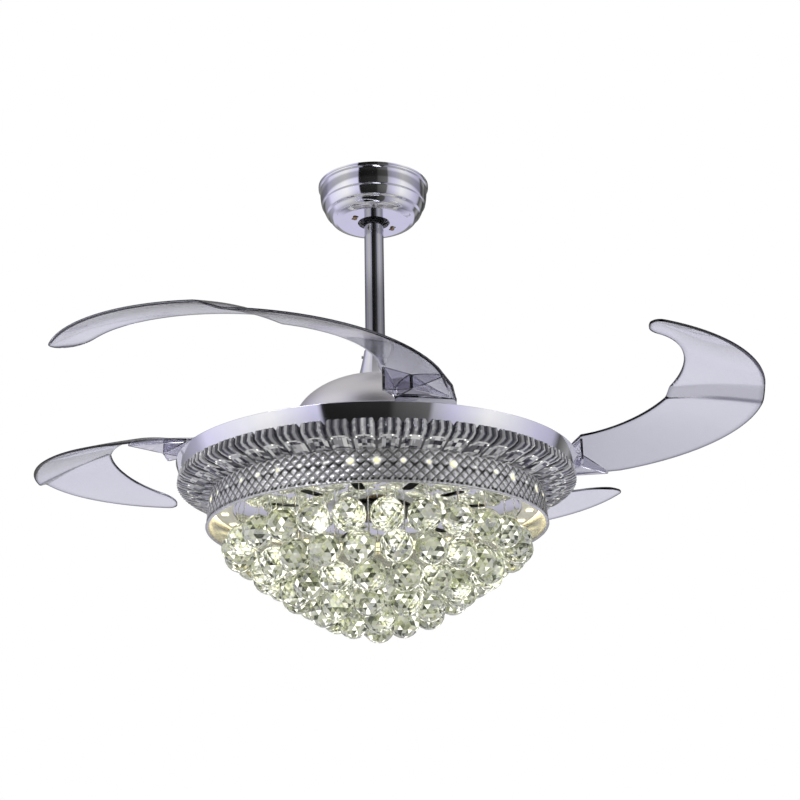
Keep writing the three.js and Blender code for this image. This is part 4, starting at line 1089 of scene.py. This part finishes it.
slot_points, slot_faces = bar_with_round_ends(34, 13, mirror_foot - 2, mirror_top + 2)
slot = slot_points + [119, 0, 0], slot_faces
for quarter in range(4):
    start = seam + 90 * quarter
    shape = sector(mirror_inner, mirror_outer, start, start + 90, mirror_foot, mirror_top)
    plate = piece(f"quarter_mirror_{quarter + 1}", shape, "mirror_chrome", f"mirror_plate_{quarter + 1}")
    combine(plate, [spun(slot, start + 15 + 30 * number) for number in range(3)], "DIFFERENCE")

centre_top = measure("centre_plate")[1]
centre_foot = centre_top - 1.2
piece("black_centre_plate", disc(46.5, 8.5, centre_foot, centre_top, 96), "black_paint", "centre_plate")
print("mirrors", 2 * mirror_outer, "mm across")

# %% [markdown]
# ## Crystal balls
#
# Seventy-three balls hang in five rings, and each ring hangs lower than the one outside it.
# A ball is cut in staggered rows: the points of each row sit half a step round from the row
# above, so that every facet is a triangle. One ball is made once and placed everywhere, each
# time turned by its own amount, so no two catch the light alike.

# %% Balls and wires
ball_radius, wire_radius = 20.0, 0.55


def cut_ball(sides=16, latitudes=(73, 57, 41, 25, 9, -7, -23, -39, -55, -72)):
    """Rows of points at radius * cos(latitude), each row half a step round from the last."""
    points = [[0, 0, ball_radius]]
    for row, latitude in enumerate(np.radians(latitudes)):
        turn = 2 * np.pi * (np.arange(sides) + 0.5 * (row % 2)) / sides
        points += round_points(ball_radius * np.cos(latitude), turn,
                               ball_radius * np.sin(latitude)).tolist()
    points.append([0, 0, -ball_radius])
    faces = [[0, 1 + i, 1 + (i + 1) % sides] for i in range(sides)]
    for row in range(len(latitudes) - 1):
        above, below, lean = 1 + row * sides, 1 + (row + 1) * sides, row % 2
        for i in range(sides):
            after = (i + 1) % sides
            faces.append([above + i, below + (after if lean else i), above + after])
            faces.append([above + (i if lean else after), below + i, below + after])
    last = 1 + (len(latitudes) - 1) * sides
    faces += [[last + (i + 1) % sides, last + i, len(points) - 1] for i in range(sides)]
    return np.array(points), faces


outermost, innermost, ring_count, ball_gap = 172.0, 30.0, 5, 0.9
ball_points, ball_faces = cut_ball()
groups = {f"mirror_plate_{quarter + 1}": [] for quarter in range(4)} | {"centre_plate": []}
for ring_number in range(ring_count):
    share = ring_number / (ring_count - 1)
    ring_radius = outermost + (innermost - outermost) * share
    height = band_top - (108 + 89 * (1 - (1 - share) ** 1.32))
    count = int(np.pi / np.arcsin((ball_radius + ball_gap) / ring_radius))
    for turn in 360 * (np.arange(count) + 0.5 * (ring_number % 2)) / count:
        quarter = int((turn - seam) % 360 // 90)
        node = "centre_plate" if ring_number == ring_count - 1 else f"mirror_plate_{quarter + 1}"
        groups[node].append(spin([ring_radius, 0, height], turn))
for number, (node, places) in enumerate(groups.items(), 1):
    top = (centre_foot if node == "centre_plate" else mirror_foot) - 0.02
    balls, wires = [], []
    for here in places:
        balls.append((spin(ball_points, rng.uniform(0, 30)) + here, ball_faces))
        path = np.linspace(here + [0, 0, ball_radius - 0.5], [here[0], here[1], top], 6)
        wires.append(swept(path, wire_radius, 8))
    shape = together(balls)
    piece(f"crystal_balls_{number}", shape, "clear_crystal", node, sharp=0,
          marks={"facet": ("FACE", rng.random(len(shape[1])))})
    piece(f"ball_wires_{number}", together(wires), "bright_chrome", node)
print(sum(len(places) for places in groups.values()), "balls")

# %% [markdown]
# ## The blades
#
# A blade is a strip between two curves seen from above: the outer edge is a straight arm and
# then a circle, the inner edge is an ellipse. Each edge has its own height, so the strip
# twists, and it makes one small step up at which folded blades lie over one another. Near
# the tip both edges close in, like a half circle, on a line nearer the outer one. The hub end
# twists from the flat root plate up to the arm, with upright ribs under it.

# %% Blade surface
root_foot = measure("blade_1")[0]
root_top = root_foot + 4
over = root_foot - 8.5
thickness, arm_share = 3.0, 0.12
step_start, step_end, tip_start = 0.408, 0.452, 0.93
inner_root, outer_root = np.array([229.0, 21.0]), np.array([218.0, 91.0])


def blend(a, b, t):
    """From a at t = 0 to b at t = 1."""
    return a + (b - a) * t


def outer_share(v):
    """How far along its circle the outer edge is at v, a little ahead after the arm."""
    w = np.maximum(v - arm_share, 0) / (1 - arm_share)
    return w + 0.76 * w * (1 - w)


def edges(v):
    """The two edges at v: (x, y, z) of the ellipse inside and of the arm and circle outside."""
    around_circle = np.radians(67 - 140 * outer_share(v))
    along_arm = np.minimum(v / arm_share, 1)
    step = 8 * smooth_step(v, step_start, step_end)
    outer = np.stack([blend(262, 228.5 + 226.2 * np.cos(around_circle), along_arm),
                      blend(85, -140.3 + 226.2 * np.sin(around_circle), along_arm),
                      over + 12 + 30 * outer_share(v) + step], axis=-1)
    around_ellipse = np.radians(88 - 158 * v)
    inner = np.stack([255 + 102.7 * np.cos(around_ellipse), -161.4 + 163.5 * np.sin(around_ellipse),
                      over + 39 + 15 * np.sin(np.pi * v / 1.15) + step], axis=-1)
    return inner, outer


def blade_sheet(stations, across):
    """Middle surface: twist from the root, then the strip, drawn in at the tip, with camber."""
    v = np.clip(stations, 0, 1)
    inner, outer = edges(v)
    twist = np.clip(stations + 1, 0, 1)[:, None]
    flat = over + 10.5
    root_in = np.concatenate([inner_root, [flat]])
    root_out = np.concatenate([outer_root, [flat]])
    ease = np.concatenate([twist, twist, twist ** 0.85], axis=1)
    inner, outer = blend(root_in, inner, ease), blend(root_out, outer, ease)
    way = np.clip((v - tip_start) / (1 - tip_start), 0, 1)
    keep = np.sqrt(np.maximum(1 - way ** 2, 0.015))[:, None]
    middle = blend(inner, outer, 0.62)
    inner, outer = blend(middle, inner, keep), blend(middle, outer, keep)
    sheet = blend(inner[:, None], outer[:, None], across[None, :, None])
    camber = 3 * keep[:, 0] * smooth_step(v, 0.1, 0.35)
    sheet[..., 2] += camber[:, None] * np.sin(np.pi * across)
    return sheet


stations = np.concatenate([np.linspace(-1, 0, 14)[:-1], np.linspace(0, 0.40, 31)[:-1],
                           np.linspace(0.40, 0.46, 16)[:-1], np.linspace(0.46, tip_start, 36)[:-1],
                           tip_start + (1 - tip_start) * np.sin(np.linspace(0, np.pi / 2, 12))])
edge_rows = np.array([0, 0.002, 0.007, 0.017])
across = np.concatenate([edge_rows, np.linspace(0.06, 0.94, 12), 1 - edge_rows[::-1]])
sheet = blade_sheet(stations, across)
roundness = np.clip(np.minimum(across, 1 - across) / edge_rows[-1], 0, 1)
half = thickness / 2 * np.sqrt(1 - (1 - roundness) ** 2)
lift = half[:, None] * [0, 0, 1]
loops = np.concatenate([sheet + lift, (sheet - lift)[:, -2:0:-1]], axis=1)
strip = loops, tube_faces(*loops.shape[:2])
print("blade strip", len(strip[1]), "faces")

# %% [markdown]
# The root plate is an outline pushed up: part of a circle round the pivot, closed by its
# tangents to the blade's two edges. The ribs are thin upright walls whose tops follow the
# blade's middle surface. Blender's exact boolean joins them to the strip.

# %% Root plate, ribs and the joined blade
root_radius = 36


def tangent_angle(place, side):
    """The angle at which a line from a place touches the root's circle."""
    away = place - pivot
    return np.arctan2(away[1], away[0]) + side * np.arccos(root_radius / np.hypot(*away))


sweep = np.linspace(tangent_angle(outer_root, 1), tangent_angle(inner_root, -1) + 2 * np.pi, 48)
round_end = pivot + root_radius * np.stack([np.cos(sweep), np.sin(sweep)], axis=1)
outline = np.concatenate([[outer_root], round_end,
                          [inner_root, inner_root + [8, 4], outer_root + [8, -4]]])
root = prism(outline, root_foot, root_top)

fine = blade_sheet(np.linspace(-1, 0.3, 400), np.linspace(0, 1, 60)).reshape(-1, 3)


def rib(start, end, wall=2.4, steps=40):
    """An upright wall from the root's underside up to the blade's middle surface."""
    start, end = np.array(start, float), np.array(end, float)
    share = np.linspace(0, 1, steps)[:, None]
    line = blend(start, end, share)
    side = np.array([start[1] - end[1], end[0] - start[0]]) / np.hypot(*(end - start)) * wall / 2
    nearest = np.argmin(((fine[None, :, :2] - line[:, None]) ** 2).sum(axis=2), axis=1)
    top = np.maximum(fine[nearest, 2], root_foot + 0.5)
    outline = np.concatenate([line - side, (line + side)[::-1]])
    tops = np.concatenate([top, top[::-1]])
    points, faces = prism(outline, root_foot, tops)
    count = 2 * steps
    strips = [[i, i + 1, count - 2 - i, count - 1 - i] for i in range(steps - 1)]
    caps = [face[::-1] for face in strips] + [[c + count for c in face] for face in strips]
    return points, faces[:-2] + caps


inner_near, inner_far, meeting = inner_root + [9, 1], (260, 8), (262, 40)
outer_far, outer_near = (300, 72), outer_root + [12, -7]
runs = [(inner_near, inner_far), (inner_far, meeting), (meeting, outer_far),
        (outer_far, outer_near), (inner_near, meeting), (meeting, outer_near)]
blade = raw(strip)
combine(blade, [root, *[rib(*run) for run in runs]], "UNION")
combine(blade, [spun(cylinder(bolt_hole, root_foot - 2, root_top + 2), 0, *pivot)], "DIFFERENCE")
print("joined blade", len(blade.data.polygons), "faces")

# %% [markdown]
# The finish reads four marks, which say where it paints shade on the clear sheet. Upright
# comes from how a face lies, and edge from how far a point is from the rim. Root and step
# come from the place of the nearest point of the sheet.

# %% Marks of the blade and its four copies
shape = blade.data
normals, places = np.zeros(3 * len(shape.polygons)), np.zeros(3 * len(shape.vertices))
shape.polygons.foreach_get("normal", normals)
shape.vertices.foreach_get("co", places)
normals, places = normals.reshape(-1, 3), places.reshape(-1, 3)
mark(shape, "upright", "FACE", smooth_step(1 - np.abs(normals[:, 2]), 0.35, 0.8))

points = places / mm
rim = np.concatenate([blade_sheet(np.linspace(-0.3, 1, 500), np.array([0.0, 1.0])).reshape(-1, 3),
                      blade_sheet(np.array([1.0]), np.linspace(0, 1, 20)).reshape(-1, 3)])
away = np.sqrt(((points[:, None] - rim) ** 2).sum(axis=2)).min(axis=1)
mark(shape, "edge", "POINT", np.clip(1.15 - away / 3.5, 0, 1))

grid = sheet.reshape(-1, 3)
nearest = ((grid ** 2).sum(axis=1) - 2 * points @ grid.T).argmin(axis=1)
station, side = np.repeat(stations, len(across))[nearest], np.tile(across, len(stations))[nearest]
# Painted shade: darkest in the crease of the step and fainter over its slope.
crease = np.exp(-((station - 0.410) / 0.006) ** 2) * smooth_step(side, 0.1, 0.6)
slope = smooth_step(station, 0.404, 0.414) * (1 - smooth_step(station, 0.444, 0.456))
mark(shape, "root", "POINT", 1 - smooth_step(station, -0.1, 0.55))
mark(shape, "step", "POINT", np.maximum(crease, 0.30 * slope))
shape.polygons.foreach_set("use_smooth", np.ones(len(shape.polygons), bool))
for quarter in range(4):
    mesh = shape.copy()
    mesh.vertices.foreach_set("co", spin(places, -90 * quarter).ravel())
    mesh.set_sharp_from_angle(angle=np.radians(35))
    dress(bpy.data.objects.new(f"clear_blade_{quarter + 1}", mesh), "clear_acrylic",
          f"blade_{quarter + 1}", f"folding_blade_{quarter + 1}")
bpy.data.objects.remove(blade)
print("four blades with edge, upright, root and step marks")

# %% [markdown]
# ## Studio
#
# The photo is a product shot on pure white. To the camera the world is plain white, while
# chrome reflects a room: white walls at the sides with a dark picture rail round them, a dark
# zone behind the camera, a grey back wall, and a ceiling and floor that fall off to grey.
# Without that, chrome on white would have no shape. Clear pieces look through at a lighter,
# even room of their own.

# %% World
world = bpy.data.worlds.new("studio")
bpy.context.scene.world = world
world.use_nodes = True
net = Net(world.node_tree)
background = world.node_tree.nodes["Background"]
way = net.node("ShaderNodeTexCoord")
x, y, rise = (net.node("ShaderNodeSeparateXYZ", None, {0: way}, output=axis) for axis in range(3))
level = rise * 0.5 + 0.5


def grey(value, lavender=0.0):
    """A grey, with a touch of lavender if asked."""
    return (value * (1 - 0.04 * lavender), value * (1 - 0.05 * lavender), value * (1 + 0.08 * lavender))


def greys(number, *stops):
    """A ramp of greys; each stop is its place, its value and its lavender."""
    return net.ramp(number, [(place, grey(*tone)) for place, *tone in stops])


# turn is 0.5 straight behind the camera, 0.25 and 0.75 at the two sides, 0 and 1 at the back
turn = net.maths("ARCTAN2", x, y * -1) * (0.5 / np.pi) + 0.5
walls = greys(turn, (0.0, 0.30), (0.08, 0.22), (0.17, 0.46, 2), (0.20, 0.80, 2), (0.33, 1.0),
              (0.40, 0.80, 2), (0.412, 0.78, 2), (0.418, 0.015), (0.52, 0.025), (0.53, 0.08),
              (0.583, 0.14), (0.588, 0.50, 1), (0.62, 0.72, 2), (0.68, 0.95), (0.78, 0.62, 2),
              (0.82, 0.50, 2), (0.84, 0.10), (0.88, 0.34), (0.91, 0.08), (1.0, 0.30))
walls = net.mix(greys(level, (0.80, 0), (0.92, 1)), walls, (0.80, 0.79, 0.82, 1))
fall_off = greys(level, (0.0, 0.35), (0.22, 0.55), (0.40, 0.95), (0.50, 1.0), (0.60, 0.95),
                 (0.63, 0.46), (0.695, 0.50), (0.715, 0.92), (0.86, 0.76), (1.0, 0.64))
room = net.node("ShaderNodeMix", {"data_type": "RGBA", "blend_type": "MULTIPLY"},
                {0: 1.0, 6: walls, 7: fall_off}, output=2)
low_band = greys(level, (0.05, 0), (0.20, 1), (0.36, 1), (0.43, 0))
back_side = greys(y * 0.5 + 0.5, (0.62, 0), (0.82, 1))
room = net.mix(low_band * back_side, room, (*grey(0.66, 2), 1))
through = greys(level, (0.0, 0.45), (0.35, 0.9), (0.5, 1.0), (0.70, 0.97), (0.85, 0.6), (1.0, 0.35))
seen_by = {name: net.node("ShaderNodeLightPath", output=f"Is {name} Ray")
           for name in ("Camera", "Glossy", "Transmission")}
colour = net.mix(seen_by["Glossy"], (0.78, 0.78, 0.80, 1), room)
colour = net.mix(seen_by["Transmission"], colour, through)
net.fill(background.inputs["Color"], net.mix(seen_by["Camera"], colour, (1, 1, 1, 1)))
background.inputs["Strength"].default_value = 1.0
print("world with", len(world.node_tree.nodes), "nodes")

# %% [markdown]
# Three soft panels add a direction to the light. Chrome doesn't see them, because their hard
# corners would show in it.

# %% Lights and floor
def area_light(name, place, aim, width, depth, watts):
    """A soft panel at a place, turned so that it faces the aim."""
    panel = bpy.data.lights.new(name, "AREA")
    panel.shape, panel.size, panel.size_y, panel.energy = "RECTANGLE", width, depth, watts
    thing = bpy.data.objects.new(name, panel)
    back = np.array(place, float) - aim
    back /= np.linalg.norm(back)
    side = np.cross([0, 0, 1], back)
    side /= np.linalg.norm(side)
    place_at(thing, side, np.cross(back, side), back, place)
    thing.visible_glossy = False
    bpy.context.scene.collection.objects.link(thing)


area_light("key_panel", (-1.5, -1.6, 0.5), (0, 0, -0.35), 1.2, 0.9, 26)
area_light("fill_panel", (1.9, -1.0, -0.3), (0, 0, -0.4), 1.0, 1.4, 12)
area_light("low_panel", (0.2, -1.0, -1.9), (0, 0, -0.5), 1.0, 0.6, 8)


floor_half, floor_height = 6, -2.5
floor_mesh = bpy.data.meshes.new("studio_floor")
floor_mesh.from_pydata([(x, y, floor_height) for x, y in (
    (-floor_half, -floor_half), (floor_half, -floor_half), (floor_half, floor_half),
    (-floor_half, floor_half))], [], [[0, 1, 2, 3]])
floor_mesh.materials.append(finish("studio_floor", lambda net: {
    "Base Color": net.mix(net.noise(3), (0.873, 0.873, 0.873, 1), (0.9, 0.9, 0.9, 1)),
    "Roughness": 0.9}))
floor = bpy.data.objects.new("studio_floor", floor_mesh)
bpy.context.scene.collection.objects.link(floor)
floor.visible_glossy = False
floor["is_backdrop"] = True
print("studio is set")

# %% [markdown]
# ## Sizes
#
# Last, we work out the box of the dressed model, in metres, and print its size.

# %% The dressed model's size
bpy.context.scene.view_settings.view_transform = "Standard"
low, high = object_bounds()
print("dressed model", [round(b - a, 4) for a, b in zip(low, high)], "m")
